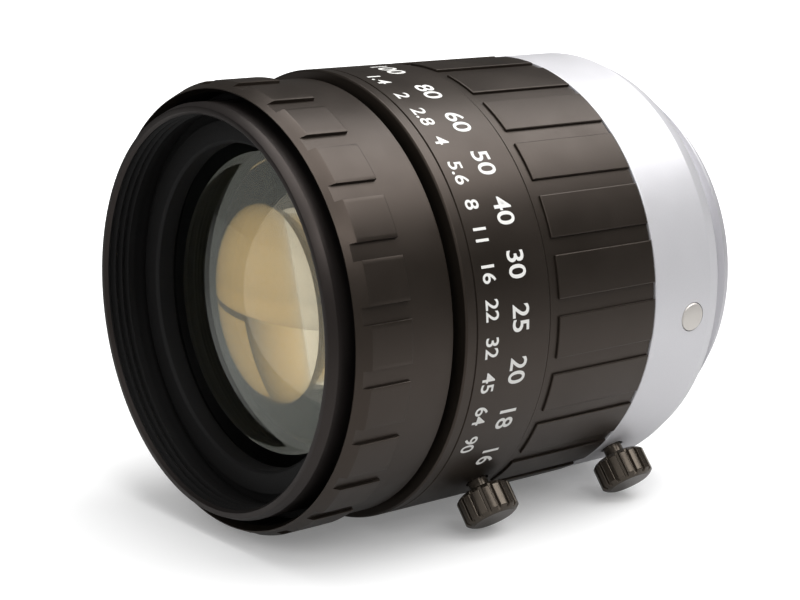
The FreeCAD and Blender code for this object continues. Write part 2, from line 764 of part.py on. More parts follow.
plate_bore = blade_bore - cam_margin
iris_base_plate = turned_piece("iris_base_plate", shoulder, [
    (plate_bore, plate_front),
    (tube_bore - seat_gap, plate_front),
    (tube_bore - seat_gap, shoulder),
    (plate_bore, shoulder),
])
pivot_sketch = new_sketch(iris_base_plate, "pivot_hole_sketch", "XZ_Plane",
                          plate_thickness * 2, iris_phase)
circle(pivot_sketch, pivot_circle, 0, blade_pin_radius + blade_pin_gap)
pivot_hole = pocket(iris_base_plate, pivot_sketch, plate_thickness * 3, "pivot_hole")
round_row(iris_base_plate, pivot_hole, "Y_Axis", blade_count, "pivot_holes")

iris_cam_ring = turned_piece("iris_cam_ring", cam_rear, [
    (cam_bore, cam_front),
    (cam_rim_bore, cam_front),
    (cam_rim_bore, cam_front - cam_rim_front),
    (cam_radius, cam_front - cam_rim_front),
    (cam_radius, cam_rear),
    (cam_bore, cam_rear),
])


def drive_point(share):
    """The drive pin's place in the cam ring's own frame, from open (0) to closed (1)."""
    blade = drive_arm_angle + blade_turn_range * share
    back = -(iris_turn_range * share)
    x = pivot_circle + drive_arm * cosine(blade)
    y = drive_arm * sine(blade)
    return x * cosine(back) - y * sine(back), x * sine(back) + y * cosine(back)


def arc_through(first, middle, last):
    """Centre and radius of the arc through three points, as numbers."""
    ax, ay = first[0].value, first[1].value
    bx, by = middle[0].value, middle[1].value
    cx, cy = last[0].value, last[1].value
    twice = 2 * (ax * (by - cy) + bx * (cy - ay) + cx * (ay - by))
    ux = ((ax * ax + ay * ay) * (by - cy) + (bx * bx + by * by) * (cy - ay)
          + (cx * cx + cy * cy) * (ay - by)) / twice
    uy = ((ax * ax + ay * ay) * (cx - bx) + (bx * bx + by * by) * (ax - cx)
          + (cx * cx + cy * cy) * (bx - ax)) / twice
    return ux, uy, math.hypot(ax - ux, ay - uy)


# Each cam slot is a tool solid along the drive pin's path, and the eight tools are cut at once.
slot_clearance = blade_pin_radius + blade_pin_gap
slot_open = drive_point(dim(0))
slot_middle = drive_point(dim(0.5))
slot_closed = drive_point(dim(1))
arc_x, arc_y, arc_radius = arc_through(slot_open, slot_middle, slot_closed)
worst = 0.0
for step in range(41):
    x, y = drive_point(dim(step / 40))
    worst = max(worst, abs(math.hypot(x.value - arc_x, y.value - arc_y) - arc_radius))
print("cam slot arc radius", round(arc_radius, 3), "strays", round(worst, 4))


def beside(point, offset):
    """A point moved away from the arc's centre."""
    dx = point[0].value - arc_x
    dy = point[1].value - arc_y
    scale = (arc_radius + offset) / arc_radius
    return arc_x + dx * scale, arc_y + dy * scale


cam_sketch = new_sketch(iris_cam_ring, "cam_slot_sketch", "XZ_Plane", plate_thickness * 2, iris_phase)
half = slot_clearance.value
out_open = beside(slot_open, half)
out_middle = beside(slot_middle, half)
out_closed = beside(slot_closed, half)
in_open = beside(slot_open, -half)
in_middle = beside(slot_middle, -half)
in_closed = beside(slot_closed, -half)


def past(point, toward, away):
    """The far point of a slot's round end."""
    dx = (point[0].value - arc_x) / arc_radius
    dy = (point[1].value - arc_y) / arc_radius
    side_x, side_y = -dy, dx
    reach = side_x * (toward[0].value - point[0].value) + side_y * (toward[1].value - point[1].value)
    sign = -1.0 if reach > 0 else 1.0
    return point[0].value + sign * side_x * away, point[1].value + sign * side_y * away


end_open = past(slot_open, slot_middle, half)
end_closed = past(slot_closed, slot_middle, half)
cam_points = [(out_open, out_middle, out_closed), (out_closed, end_closed, in_closed),
              (in_closed, in_middle, in_open), (in_open, end_open, out_open)]
for first, middle, last in cam_points:
    edge = Part.Arc(FreeCAD.Vector(first[0], first[1], 0), FreeCAD.Vector(middle[0], middle[1], 0),
                    FreeCAD.Vector(last[0], last[1], 0))
    geo = cam_sketch.addGeometry(edge, False)
    cam_sketch.addConstraint(Sketcher.Constraint("Block", geo))
cam_slot = pocket(iris_cam_ring, cam_sketch, plate_thickness * 2 + 0.05, "cam_slot")
round_row(iris_cam_ring, cam_slot, "Y_Axis", blade_count, "cam_slots")
drive_thread = size("iris_drive_thread_radius", 0.45)
radial_hole(iris_cam_ring, "cam_screw_hole", drive_station, drive_lean, drive_thread + running, through)

# Iris drive screw: joins the iris ring's skirt to the cam ring's rim.
iris_drive_screw = new_body("iris_drive_screw")
place(iris_drive_screw, drive_station, drive_lean)
drive_sketch = new_sketch(iris_drive_screw, "drive_screw_profile", "XZ_Plane")
drive_inner = cam_rim_bore + face_gap
draw(drive_sketch, [
    (0, drive_inner),
    (drive_thread, drive_inner),
    (drive_thread, cam_radius),
    (drive_radius, cam_radius),
    (drive_radius, skirt_radius - seat_gap * 5),
    (0, skirt_radius - seat_gap * 5),
])
drive_turn = iris_drive_screw.newObject("PartDesign::Revolution", "drive_screw_turning")
drive_turn.Profile = drive_sketch
drive_turn.ReferenceAxis = (drive_sketch, ["V_Axis"])
drive_turn.Angle = 360


def make_blade(index):
    """One crescent blade with its pivot pin and its drive pin."""
    label = "iris_blade_" + str(index + 1)
    body = new_body(label)
    level = cam_rear + face_gap + blade_pitch * index
    step = dim(360) / blade_count
    place(body, level, -(iris_phase + step * index))
    leaf = new_sketch(body, label + "_leaf", "XZ_Plane")
    head_middle = (head_start_angle + head_stop_angle) / 2
    band_middle = (band_start_angle + tip_angle) / 2
    bore_middle = (head_start_angle + tip_angle) / 2
    tip_half = (blade_band - blade_bore) / 2
    tip_radius = tip_half * 1.15
    tip_reach = tip_radius - root(tip_radius * tip_radius - tip_half * tip_half)
    tip_centre = (blade_band + blade_bore) / 2
    tip_far = (tip_centre * cosine(tip_angle) - tip_reach * sine(tip_angle),
               tip_centre * sine(tip_angle) + tip_reach * cosine(tip_angle))
    draw(leaf, [
        (blade_head * cosine(head_start_angle), blade_head * sine(head_start_angle), blade_head,
         (blade_head * cosine(head_middle), blade_head * sine(head_middle))),
        (blade_head * cosine(head_stop_angle), blade_head * sine(head_stop_angle)),
        (blade_band * cosine(band_start_angle), blade_band * sine(band_start_angle), blade_band,
         (blade_band * cosine(band_middle), blade_band * sine(band_middle))),
        (blade_band * cosine(tip_angle), blade_band * sine(tip_angle), tip_radius, tip_far),
        (blade_bore * cosine(tip_angle), blade_bore * sine(tip_angle), blade_bore,
         (blade_bore * cosine(bore_middle), blade_bore * sine(bore_middle))),
        (blade_bore * cosine(head_start_angle), blade_bore * sine(head_start_angle)),
    ])
    sheet_pad = body.newObject("PartDesign::Pad", label + "_sheet")
    sheet_pad.Profile = leaf
    sheet_pad.Length = blade_thickness.value
    sheet_pad.setExpression("Length", blade_thickness.text)
    sheet_pad.Reversed = True
    pivot_reach = (plate_front + plate_thickness * 0.8) - level
    pivot = new_sketch(body, label + "_pivot", "XZ_Plane")
    circle(pivot, pivot_circle, 0, blade_pin_radius)
    pivot_pad = body.newObject("PartDesign::Pad", label + "_pivot_pin")
    pivot_pad.Profile = pivot
    pivot_pad.Length = pivot_reach.value
    pivot_pad.setExpression("Length", pivot_reach.text)
    pivot_pad.Reversed = True
    drive_reach = level - (cam_front + plate_thickness * 0.2)
    drive = new_sketch(body, label + "_drive", "XZ_Plane", -blade_thickness)
    circle(drive, pivot_circle + drive_arm * cosine(drive_arm_angle),
           drive_arm * sine(drive_arm_angle), blade_pin_radius)
    drive_pad = body.newObject("PartDesign::Pad", label + "_drive_pin")
    drive_pad.Profile = drive
    drive_pad.Length = (drive_reach + blade_thickness).value
    drive_pad.setExpression("Length", (drive_reach + blade_thickness).text)
    return body


blades = [make_blade(index) for index in range(int(blade_count.value))]

# Rear cell with its glass.
rear_cell_radius = rear_bore - seat_gap
rear_cell_front = size("rear_cell_front_gap", 1.15)
rear_cell_tail = size("rear_cell_tail", 0.80)
rear_lip = size("rear_cell_lip", 0.50)
rear_lip_inset = size("rear_lip_inset", 2.80)
rear_lip_bore = derived("rear_lip_bore", rear_bore - rear_lip_inset)
rear_pair_inset = size("rear_pair_inset", 2.20)
rear_pair_radius = derived("rear_pair_radius", rear_bore - rear_pair_inset)
last_inset = size("last_glass_inset", 1.40)
last_radius = derived("last_glass_radius", rear_bore - last_inset)
last_seat_distance = size("last_glass_seat", 4.40)
cell_front = shoulder + rear_cell_front
lip_rear = cell_front + rear_lip
cell_tail = tail_end - rear_cell_tail
last_seat = -last_seat_distance

rear_cell = turned_piece("rear_cell", cell_front, [
    (rear_lip_bore, cell_front),
    (rear_cell_radius, cell_front),
    (rear_cell_radius, cell_tail),
    (last_radius + seat_gap, cell_tail),
    (last_radius + seat_gap, last_seat),
    (rear_pair_radius + seat_gap, last_seat),
    (rear_pair_radius + seat_gap, lip_rear),
    (rear_lip_bore, lip_rear),
])

rear_hollow = size("rear_pair_hollow", 1.80)
rear_cement_bulge = size("rear_pair_cement_bulge", 1.43)
rear_bulge = size("rear_pair_bulge", 1.675)
rear_hollow_rim = size("rear_pair_hollow_rim", 1.20)
rear_hollow_height = derived("rear_pair_hollow_height", rear_pair_radius - rear_hollow_rim)
rear_hollow_curve = derived("rear_pair_hollow_curve", curve_of(rear_hollow_height, rear_hollow))
rear_cement_curve = derived("rear_pair_cement_curve", curve_of(rear_pair_radius, rear_cement_bulge))
rear_bulge_curve = derived("rear_pair_bulge_curve", curve_of(rear_pair_radius, rear_bulge))
rear_pair_thin = size("rear_pair_front_thickness", 1.00)
rear_pair_thick = size("rear_pair_rear_thickness", 4.60)

hollow_vertex = lip_rear + sag(rear_hollow_curve, rear_hollow_height)
hollow_via = (rear_hollow_height / 2, hollow_vertex - sag(rear_hollow_curve, rear_hollow_height / 2))
rear_cement_vertex = hollow_vertex + rear_pair_thin
rear_cement_edge, rear_cement_via = lens_surface(rear_cement_vertex, rear_cement_curve,
                                                 rear_pair_radius, "rear")
lens_4 = turned_piece("lens_4", lip_rear, [
    (0, hollow_vertex, rear_hollow_curve, hollow_via),
    (rear_hollow_height, lip_rear),
    (rear_pair_radius, lip_rear),
    (rear_pair_radius, rear_cement_edge, rear_cement_curve, rear_cement_via),
    (0, rear_cement_vertex),
])
bulge_vertex = rear_cement_vertex + rear_pair_thick
bulge_edge, bulge_via = lens_surface(bulge_vertex, rear_bulge_curve, rear_pair_radius, "rear")
lens_5 = turned_piece("lens_5", rear_cement_vertex, [
    (0, rear_cement_vertex, rear_cement_curve, rear_cement_via),
    (rear_pair_radius, rear_cement_edge),
    (rear_pair_radius, bulge_edge, rear_bulge_curve, bulge_via),
    (0, bulge_vertex),
])

spacer_wall = size("rear_spacer_wall", 0.50)
last_front_bulge = size("last_glass_front_bulge", 0.793)
last_rear_bulge = size("last_glass_rear_bulge", 0.53)
last_edge = size("last_glass_edge", 2.00)
rear_spacer = turned_piece("rear_spacer", bulge_edge, [
    (rear_pair_radius - spacer_wall, bulge_edge + spacer_wall),
    (rear_pair_radius, bulge_edge),
    (rear_pair_radius, last_seat),
    (rear_pair_radius - spacer_wall, last_seat),
])

last_flat = derived("last_glass_flat_radius", rear_pair_radius - spacer_wall)
last_front_curve = derived("last_glass_front_curve", curve_of(last_flat, last_front_bulge))
last_rear_curve = derived("last_glass_rear_curve", curve_of(last_radius, last_rear_bulge))
last_front_vertex = last_seat - sag(last_front_curve, last_flat)
last_front_via = (last_flat / 2, last_front_vertex + sag(last_front_curve, last_flat / 2))
last_rear_edge = last_seat + last_edge
last_rear_vertex = last_rear_edge + sag(last_rear_curve, last_radius)
last_rear_via = (last_radius / 2, last_rear_vertex - sag(last_rear_curve, last_radius / 2))
lens_6 = turned_piece("lens_6", last_seat, [
    (0, last_front_vertex, last_front_curve, last_front_via),
    (last_flat, last_seat),
    (last_radius, last_seat),
    (last_radius, last_rear_edge, last_rear_curve, last_rear_via),
    (0, last_rear_vertex),
])

rear_retain_lap = size("last_glass_lap", 0.90)
rear_retain_bore = derived("rear_retainer_bore", last_radius - rear_retain_lap)
rear_retain_length = size("rear_retainer_length", 1.20)
rear_contact = last_rear_vertex - sag(last_rear_curve, rear_retain_bore)
rear_retaining_ring = turned_piece("rear_retaining_ring", rear_contact, [
    (rear_retain_bore, rear_contact),
    (last_radius, rear_contact),
    (last_radius, rear_contact + rear_retain_length),
    (rear_retain_bore, rear_contact + rear_retain_length),
])
spanner_width = size("spanner_slot_width", 1.00)
spanner_inset = size("spanner_slot_floor", 0.45)
rear_spanner = new_sketch(rear_retaining_ring, "rear_spanner_sketch", "XZ_Plane",
                          -(rear_retain_length - spanner_inset))
draw(rear_spanner, box_path(rear_retain_bore - cut_margin, last_radius + cut_margin, -spanner_width / 2,
                            spanner_width / 2))
rear_slot = pocket(rear_retaining_ring, rear_spanner, rear_retain_length, "rear_spanner_slot")
round_row(rear_retaining_ring, rear_slot, "Y_Axis", size("rear_slot_count", 2), "rear_slots")

# Lock screws: fluted heads on thin necks, square to the optical axis.
neck_show = size("lock_neck_length", 0.65)
head_bottom = derived("lock_head_bottom", body_radius + neck_show)
head_height = size("lock_head_height", 2.10)
head_top = derived("lock_head_top", head_bottom + head_height)
head_radius = size("lock_head_radius", 1.85)
head_edge = size("lock_head_edge", 0.20)
flute_count = size("lock_flute_count", 16)
flute_radius = size("lock_flute_radius", 0.17)
dog_radius = size("lock_dog_radius", 0.45)
dog_length = size("lock_dog_length", 0.60)
dog_chamfer = size("lock_dog_chamfer", 0.15)
flute_spread = size("lock_flute_half_width", 0.272)


def lock_screw(label, station, tip):
    body = new_body(label)
    place(body, station, screw_lean)
    profile = new_sketch(body, label + "_profile", "XZ_Plane")
    draw(profile, [
        (0, tip),
        (dog_radius, tip),
        (dog_radius, tip + dog_length),
        (screw_neck, tip + dog_length + dog_chamfer),
        (screw_neck, head_bottom),
        (head_radius - head_edge, head_bottom),
        (head_radius, head_bottom + head_edge),
        (head_radius, head_top - head_edge),
        (head_radius - head_edge, head_top),
        (0, head_top),
    ])
    turn = body.newObject("PartDesign::Revolution", label + "_turning")
    turn.Profile = profile
    turn.ReferenceAxis = (profile, ["V_Axis"])
    turn.Angle = 360
    flute = new_sketch(body, label + "_flute", "XY_Plane", head_top)
    side = flute_radius
    draw(flute, [
        (head_radius - side, 0),
        (head_radius + side, -flute_spread),
        (head_radius + side, flute_spread),
    ])
    cut = pocket(body, flute, head_top - head_bottom, label + "_flute_one")
    round_row(body, cut, "Z_Axis", flute_count, label + "_flutes")
    return body


iris_lock_screw = lock_screw("iris_lock_screw", iris_screw_station, skirt_radius + running)
focus_lock_screw = lock_screw("focus_lock_screw", focus_screw_station, nut_radius + running)

# Checks and files.
doc.recompute()
pieces = [
    mount_barrel, guide_pin, focus_snap_ring, focus_ring, helicoid_nut, optical_barrel, label_ring,
    iris_ring, front_cell, lens_1, front_retaining_ring, lens_2, lens_3, doublet_retaining_ring,
    iris_base_plate, iris_cam_ring, iris_drive_screw, rear_cell, lens_4, lens_5, rear_spacer,
    lens_6, rear_retaining_ring, iris_lock_screw, focus_lock_screw,
] + blades

for item in doc.Objects:
    if "Invalid" in item.State or "Error" in item.State:
        raise RuntimeError(item.Name + " failed: " + str(item.State))
for piece in pieces:
    if piece.Shape.isNull() or not piece.Shape.isValid():
        raise RuntimeError(piece.Label + " has no valid shape")
    if len(piece.Shape.Solids) != 1:
        raise RuntimeError(piece.Label + " has " + str(len(piece.Shape.Solids)) + " solids")

os.makedirs("parts", exist_ok=True)
for piece in pieces:
    piece.Shape.exportStep(os.path.join("parts", piece.Label + ".step"))
    print(piece.Label, round(piece.Shape.Volume, 3))
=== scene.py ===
"""Looks of a C-mount machine vision lens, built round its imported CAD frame.

Lengths in the classes are millimetres on the lens: radius from the optical axis, and station
along it (Y) from the mount's flange plane. The meshes are scaled to metres when they are done.
"""

import logging
import math
from dataclasses import dataclass
from enum import Enum
from typing import Callable, Iterable, Optional, Sequence

import bmesh
import bpy
from mathutils import Matrix, Vector


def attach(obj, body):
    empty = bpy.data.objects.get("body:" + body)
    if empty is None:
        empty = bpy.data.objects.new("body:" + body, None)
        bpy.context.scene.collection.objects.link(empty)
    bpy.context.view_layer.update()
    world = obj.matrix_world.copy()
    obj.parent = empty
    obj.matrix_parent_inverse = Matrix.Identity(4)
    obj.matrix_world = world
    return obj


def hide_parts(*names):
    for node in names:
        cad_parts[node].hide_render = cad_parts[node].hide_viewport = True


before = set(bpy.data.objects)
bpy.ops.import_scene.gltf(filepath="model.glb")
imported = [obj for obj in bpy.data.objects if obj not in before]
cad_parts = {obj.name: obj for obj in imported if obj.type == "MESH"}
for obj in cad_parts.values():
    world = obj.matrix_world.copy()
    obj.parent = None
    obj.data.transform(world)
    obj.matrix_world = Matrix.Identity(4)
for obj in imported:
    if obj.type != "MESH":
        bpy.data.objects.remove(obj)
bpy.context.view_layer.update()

log = logging.getLogger("lens")
MM = 0.001
Point = tuple[float, float]


class Body(Enum):
    """The CAD bodies that the pieces ride on."""

    MOUNT = "mount"
    FOCUS = "focus_ring_body"
    BARREL = "lens_barrel"
    IRIS = "iris_ring_body"
    IRIS_SCREW = "iris_lock_screw_body"
    FOCUS_SCREW = "focus_lock_screw_body"


class Slot(Enum):
    """The record's material slots."""

    BLACK = "black_anodised"
    SILVER = "silver_barrel"
    STEEL = "pin_steel"
    BLADE = "blade_steel"
    BRASS = "nut_brass"
    FRONT_GLASS = "front_glass"
    INNER_GLASS = "inner_glass"


def linear(hex_colour: str) -> tuple[float, float, float, float]:
    """Turns an sRGB hex colour to linear.

    Args:
        hex_colour: six hex digits, such as "#1d1b1a".

    Returns:
        Linear red, green and blue, with an alpha of 1.
    """
    parts = [int(hex_colour[place:place + 2], 16) / 255.0 for place in (1, 3, 5)]
    curved = [c / 12.92 if c <= 0.04045 else ((c + 0.055) / 1.055) ** 2.4 for c in parts]
    return (curved[0], curved[1], curved[2], 1.0)


def add_node(tree: bpy.types.NodeTree, kind: str, settings: Optional[dict] = None,
             links: Optional[dict] = None) -> bpy.types.Node:
    """Adds a shader node, sets it up and links its inputs.

    Args:
        tree: the node tree.
        kind: the node's type name.
        settings: attribute names or input names, each with its value.
        links: input names, each with the output socket that feeds it.

    Returns:
        The new node.
    """
    node = tree.nodes.new(kind)
    for name, value in (settings or {}).items():
        if isinstance(name, str) and name not in node.inputs:
            setattr(node, name, value)
        else:
            node.inputs[name].default_value = value
    for name, socket in (links or {}).items():
        tree.links.new(socket, node.inputs[name])
    return node


def new_material(name: str) -> tuple[bpy.types.Material, bpy.types.NodeTree]:
    """Makes an empty node material.

    Args:
        name: the material's name.

    Returns:
        The material and its node tree.
    """
    material = bpy.data.materials.new(name)
    material.use_nodes = True
    material.node_tree.nodes.clear()
    return material, material.node_tree


@dataclass(frozen=True)
class Anodised:
    """Anodised aluminium: a hard, fine-grained oxide skin with a broad, soft sheen.

    The turned lines of the metal under it show as faint rings about the lens axis. The real
    grain and lines are finer than a render shows, so both are drawn a few times coarser.
    """

    name: str
    colour: str
    light_colour: str
    roughness: float
    metallic: float
    tint: str = "#ffffff"
    gloss: float = 0.5
    grain_mm: float = 0.09
    grain_bump: float = 0.25
    ring_mm: float = 0.16
    ring_bump: float = 0.10
    cloud_mm: float = 5.0
    relief_mm: float = 0.01

    def make(self) -> bpy.types.Material:
        """Builds the material.

        Returns:
            The finished material.
        """
        material, tree = new_material(self.name)
        place = add_node(tree, "ShaderNodeTexCoord")
        grain = add_node(tree, "ShaderNodeTexNoise",
                         {"Scale": 1.0 / (self.grain_mm * MM), "Detail": 3.0, "Roughness": 0.6},
                         {"Vector": place.outputs["Object"]})
        cloud = add_node(tree, "ShaderNodeTexNoise",
                         {"Scale": 1.0 / (self.cloud_mm * MM), "Detail": 4.0, "Roughness": 0.6},
                         {"Vector": place.outputs["Object"]})
        axes = add_node(tree, "ShaderNodeSeparateXYZ", links={0: place.outputs["Object"]})
        along = add_node(tree, "ShaderNodeMath",
                         {"operation": "MULTIPLY", 1: 1.0 / (self.ring_mm * MM)},
                         {0: axes.outputs["Y"]})
        rings = add_node(tree, "ShaderNodeTexNoise",
                         {"noise_dimensions": "1D", "Scale": 1.0, "Detail": 2.0},
                         {"W": along.outputs[0]})
        shade = add_node(tree, "ShaderNodeMix",
                         {"data_type": "RGBA", 6: linear(self.colour),
                          7: linear(self.light_colour)},
                         {0: grain.outputs["Fac"]})
        rough = add_node(tree, "ShaderNodeMapRange",
                         {"From Min": 0.3, "From Max": 0.7, "To Min": self.roughness - 0.05,
                          "To Max": self.roughness + 0.07},
                         {"Value": cloud.outputs["Fac"]})
        relief = self.relief_mm * MM
        fine = add_node(tree, "ShaderNodeBump", {"Strength": self.grain_bump, "Distance": relief},
                        {"Height": grain.outputs["Fac"]})
        lines = add_node(tree, "ShaderNodeBump", {"Strength": self.ring_bump, "Distance": relief},
                         {"Height": rings.outputs["Fac"], "Normal": fine.outputs["Normal"]})
        skin = add_node(tree, "ShaderNodeBsdfPrincipled",
                        {"Metallic": self.metallic, "Specular Tint": linear(self.tint),
                         "Specular IOR Level": self.gloss},
                        {"Base Color": shade.outputs[2], "Roughness": rough.outputs["Result"],
                         "Normal": lines.outputs["Normal"]})
        add_node(tree, "ShaderNodeOutputMaterial", links={"Surface": skin.outputs["BSDF"]})
        return material


@dataclass(frozen=True)
class Plain:
    """A plain finish with a little grain, for paint, steel, brass and blackened inner walls.

    The real grain is finer than a render shows, so it is drawn a few times coarser.
    """

    name: str
    colour: str
    roughness: float
    metallic: float = 0.0
    gloss: float = 0.5
    grain_mm: float = 0.12
    grain_bump: float = 0.12
    relief_mm: float = 0.01
    spread: float = 0.08

    def make(self) -> bpy.types.Material:
        """Builds the material.

        Returns:
            The finished material.
        """
        material, tree = new_material(self.name)
        place = add_node(tree, "ShaderNodeTexCoord")
        grain = add_node(tree, "ShaderNodeTexNoise",
                         {"Scale": 1.0 / (self.grain_mm * MM), "Detail": 2.0},
                         {"Vector": place.outputs["Object"]})
        rough = add_node(tree, "ShaderNodeMapRange",
                         {"To Min": max(self.roughness - self.spread, 0.02),
                          "To Max": self.roughness + self.spread},
                         {"Value": grain.outputs["Fac"]})
        bump = add_node(tree, "ShaderNodeBump",
                        {"Strength": self.grain_bump, "Distance": self.relief_mm * MM},
                        {"Height": grain.outputs["Fac"]})
        skin = add_node(tree, "ShaderNodeBsdfPrincipled",
                        {"Base Color": linear(self.colour), "Metallic": self.metallic,
                         "Specular IOR Level": self.gloss},
                        {"Roughness": rough.outputs["Result"], "Normal": bump.outputs["Normal"]})
        add_node(tree, "ShaderNodeOutputMaterial", links={"Surface": skin.outputs["BSDF"]})
        return material


@dataclass(frozen=True)
class ClearGlass:
    """Polished optical glass with a thin coating, so its reflection has a faint tint."""

    name: str
    colour: str
    tint: str
    ior: float = 1.52
    strength: float = 0.5

    def make(self) -> bpy.types.Material:
        """Builds the material.

        Returns:
            The finished material.
        """
        material, tree = new_material(self.name)
        glass = add_node(tree, "ShaderNodeBsdfPrincipled",
                         {"Base Color": linear(self.colour), "Roughness": 0.0, "IOR": self.ior,
                          "Transmission Weight": 1.0, "Specular IOR Level": self.strength,
                          "Specular Tint": linear(self.tint)})
        add_node(tree, "ShaderNodeOutputMaterial", links={"Surface": glass.outputs["BSDF"]})
        return material


@dataclass(frozen=True)
class CoatedGlass:
    """A coated inner element: its coating gives back much of the light, in the coating's colour."""

    name: str
    colour: str
    metallic: float
    roughness: float = 0.04

    def make(self) -> bpy.types.Material:
        """Builds the material.

        Returns:
            The finished material.
        """
        material, tree = new_material(self.name)
        glass = add_node(tree, "ShaderNodeBsdfPrincipled",
                         {"Base Color": linear(self.colour), "Roughness": self.roughness,
                          "Metallic": self.metallic})
        add_node(tree, "ShaderNodeOutputMaterial", links={"Surface": glass.outputs["BSDF"]})
        return material


class Finish(Enum):
    """The lens's finishes, each with what it gives the eye."""

    # Black anodised aluminium: a hard, nearly black skin with a broad, warm sheen.
    BLACK = Anodised("black_anodised_aluminium", "#15120e", "#1e1a16", 0.37, 0.0, "#ffe8d8", 0.72,
                     grain_bump=0.16)
    # The same skin on the front rim, a little colder and duller.
    RIM = Anodised("black_anodised_rim", "#110f0f", "#191615", 0.40, 0.0, "#ffeee6", 0.6)
    # Matt blackened metal: it swallows stray light, so the recess stays dark.
    INNER = Plain("matt_black_inner_wall", "#131212", 0.62, gloss=0.35)
    # Blackened metal seen through the front glass: a dull, green-grey band, its colour painted
    # lighter than blackened metal as a painted veil of light.
    WALL = Plain("seat_wall_painted_light", "#45463f", 0.60, gloss=0.35)
    # Clear anodised, finely turned aluminium: pale, with soft highlights along the barrel.
    SILVER = Anodised("satin_silver_aluminium", "#e0dfe3", "#e8e7ea", 0.42, 0.45,
                      grain_bump=0.12, ring_bump=0.14)
    # Bare turned aluminium: each crest of the thread catches a line of light.
    THREAD = Plain("turned_aluminium_thread", "#dad9dd", 0.40, 0.55)
    # Ground steel: a small, even, bright disc.
    PIN = Plain("ground_steel_pin", "#e6e1db", 0.42, 0.65)
    # Blackened and polished brass: dark, with narrow bright lines along the flutes.
    SCREW = Plain("blackened_brass_screw", "#5a5249", 0.22, 0.70)
    # Blackened spring steel: thin, dull blades.
    BLADE = Plain("blackened_spring_steel", "#141414", 0.5, 0.3)
    # Turned brass: a warm ring that shows where the focus opens.
    BRASS = Plain("turned_brass", "#b99650", 0.32, 1.0)
    # Filling paint in the engraving: flat and white.
    PAINT = Plain("white_engraving_paint", "#e9e8e4", 0.5)
    # Polished front glass: clear, with a faint, cool reflection.
    FRONT_GLASS = ClearGlass("coated_front_glass", "#f4f4ee", "#f2fff0", 1.52, 0.4)
    # The pair's front half: clear, a little warm, and bending what shines through it.
    PAIR_GLASS = ClearGlass("warm_pair_glass", "#f6ead0", "#ffe2b0", 1.5, 0.2)
    # The coating deep in the pair: it throws the room back in gold and cream.
    COATED = CoatedGlass("gold_coated_inner_glass", "#f0deb4", 0.95)
    # The rear elements: a deep green shine over a dark inside.
    INNER_GLASS = CoatedGlass("dark_inner_glass", "#4f5a4c", 0.55)

    def material(self) -> bpy.types.Material:
        """Gives the finish's material, made once."""
        return bpy.data.materials.get(self.value.name) or self.value.make()


def outward(start: Iterable[bmesh.types.BMEdge], angle: float) -> list[bmesh.types.BMEdge]:
    """Picks the edges that turn by more than an angle.

    Args:
        start: the edges to look at.
        angle: the least turn, in degrees.

    Returns:
        The edges.
    """
    limit = math.radians(angle)
    return [e for e in start if len(e.link_faces) == 2 and e.calc_face_angle(0.0) > limit]


def turned(points: Sequence[Point], steps: int, closed: bool = True) -> bmesh.types.BMesh:
    """Spins a profile about the optical axis.

    Args:
        points: radius and station of each profile point, in mm.
        steps: how many segments go round.
        closed: whether the last point joins the first.

    Returns:
        A bmesh in mm, with its normals pointing out.
    """
    shape = bmesh.new()
    verts = [shape.verts.new((radius, station, 0.0)) for radius, station in points]
    pairs = list(zip(verts, verts[1:] + verts[:1])) if closed else list(zip(verts, verts[1:]))
    edges = [shape.edges.new(pair) for pair in pairs if pair[0] is not pair[1]]
    bmesh.ops.spin(shape, geom=verts + edges, cent=(0, 0, 0), axis=(0, 1, 0), dvec=(0, 0, 0),
                   angle=math.tau, steps=steps, use_merge=True)
    bmesh.ops.remove_doubles(shape, verts=shape.verts, dist=1e-4)
    bmesh.ops.recalc_face_normals(shape, faces=shape.faces)
    return shape


def angle_of(place: Vector) -> float:
    """Angle of a point round the optical axis, from +X towards +Z, in degrees."""
    return math.degrees(math.atan2(place.z, place.x)) % 360.0


def notch(shape: bmesh.types.BMesh, floor: float, stations: Point, pitch: float, first: float,
          width: float) -> None:
    """Sinks evenly spaced grip notches into a ring's outside.

    Args:
        shape: the ring, whose segments line up with the notch walls.
        floor: radius of the notch floor.
        stations: where the notches start and end along the axis.
        pitch: angle from one notch to the next, in degrees.
        first: angle of the middle of one notch, in degrees.
        width: angle across one notch, in degrees.
    """
    chosen = []
    for face in shape.faces:
        middle = face.calc_center_median()
        reach = math.hypot(middle.x, middle.z)
        off = (angle_of(middle) - first + pitch / 2.0) % pitch - pitch / 2.0
        inside = stations[0] - 1e-3 < middle.y < stations[1] + 1e-3
        if reach > floor - 1e-3 and inside and abs(off) < width / 2.0:
            chosen.append(face)
    made = bmesh.ops.extrude_face_region(shape, geom=chosen)
    bmesh.ops.delete(shape, geom=[face for face in chosen if face.is_valid], context="FACES")
    for vert in [v for v in made["geom"] if isinstance(v, bmesh.types.BMVert)]:
        reach = math.hypot(vert.co.x, vert.co.z)
        if reach > floor:
            vert.co.x *= floor / reach
            vert.co.z *= floor / reach
    bmesh.ops.remove_doubles(shape, verts=shape.verts, dist=1e-4)
    bmesh.ops.dissolve_degenerate(shape, dist=1e-5, edges=shape.edges)
    bmesh.ops.recalc_face_normals(shape, faces=shape.faces)


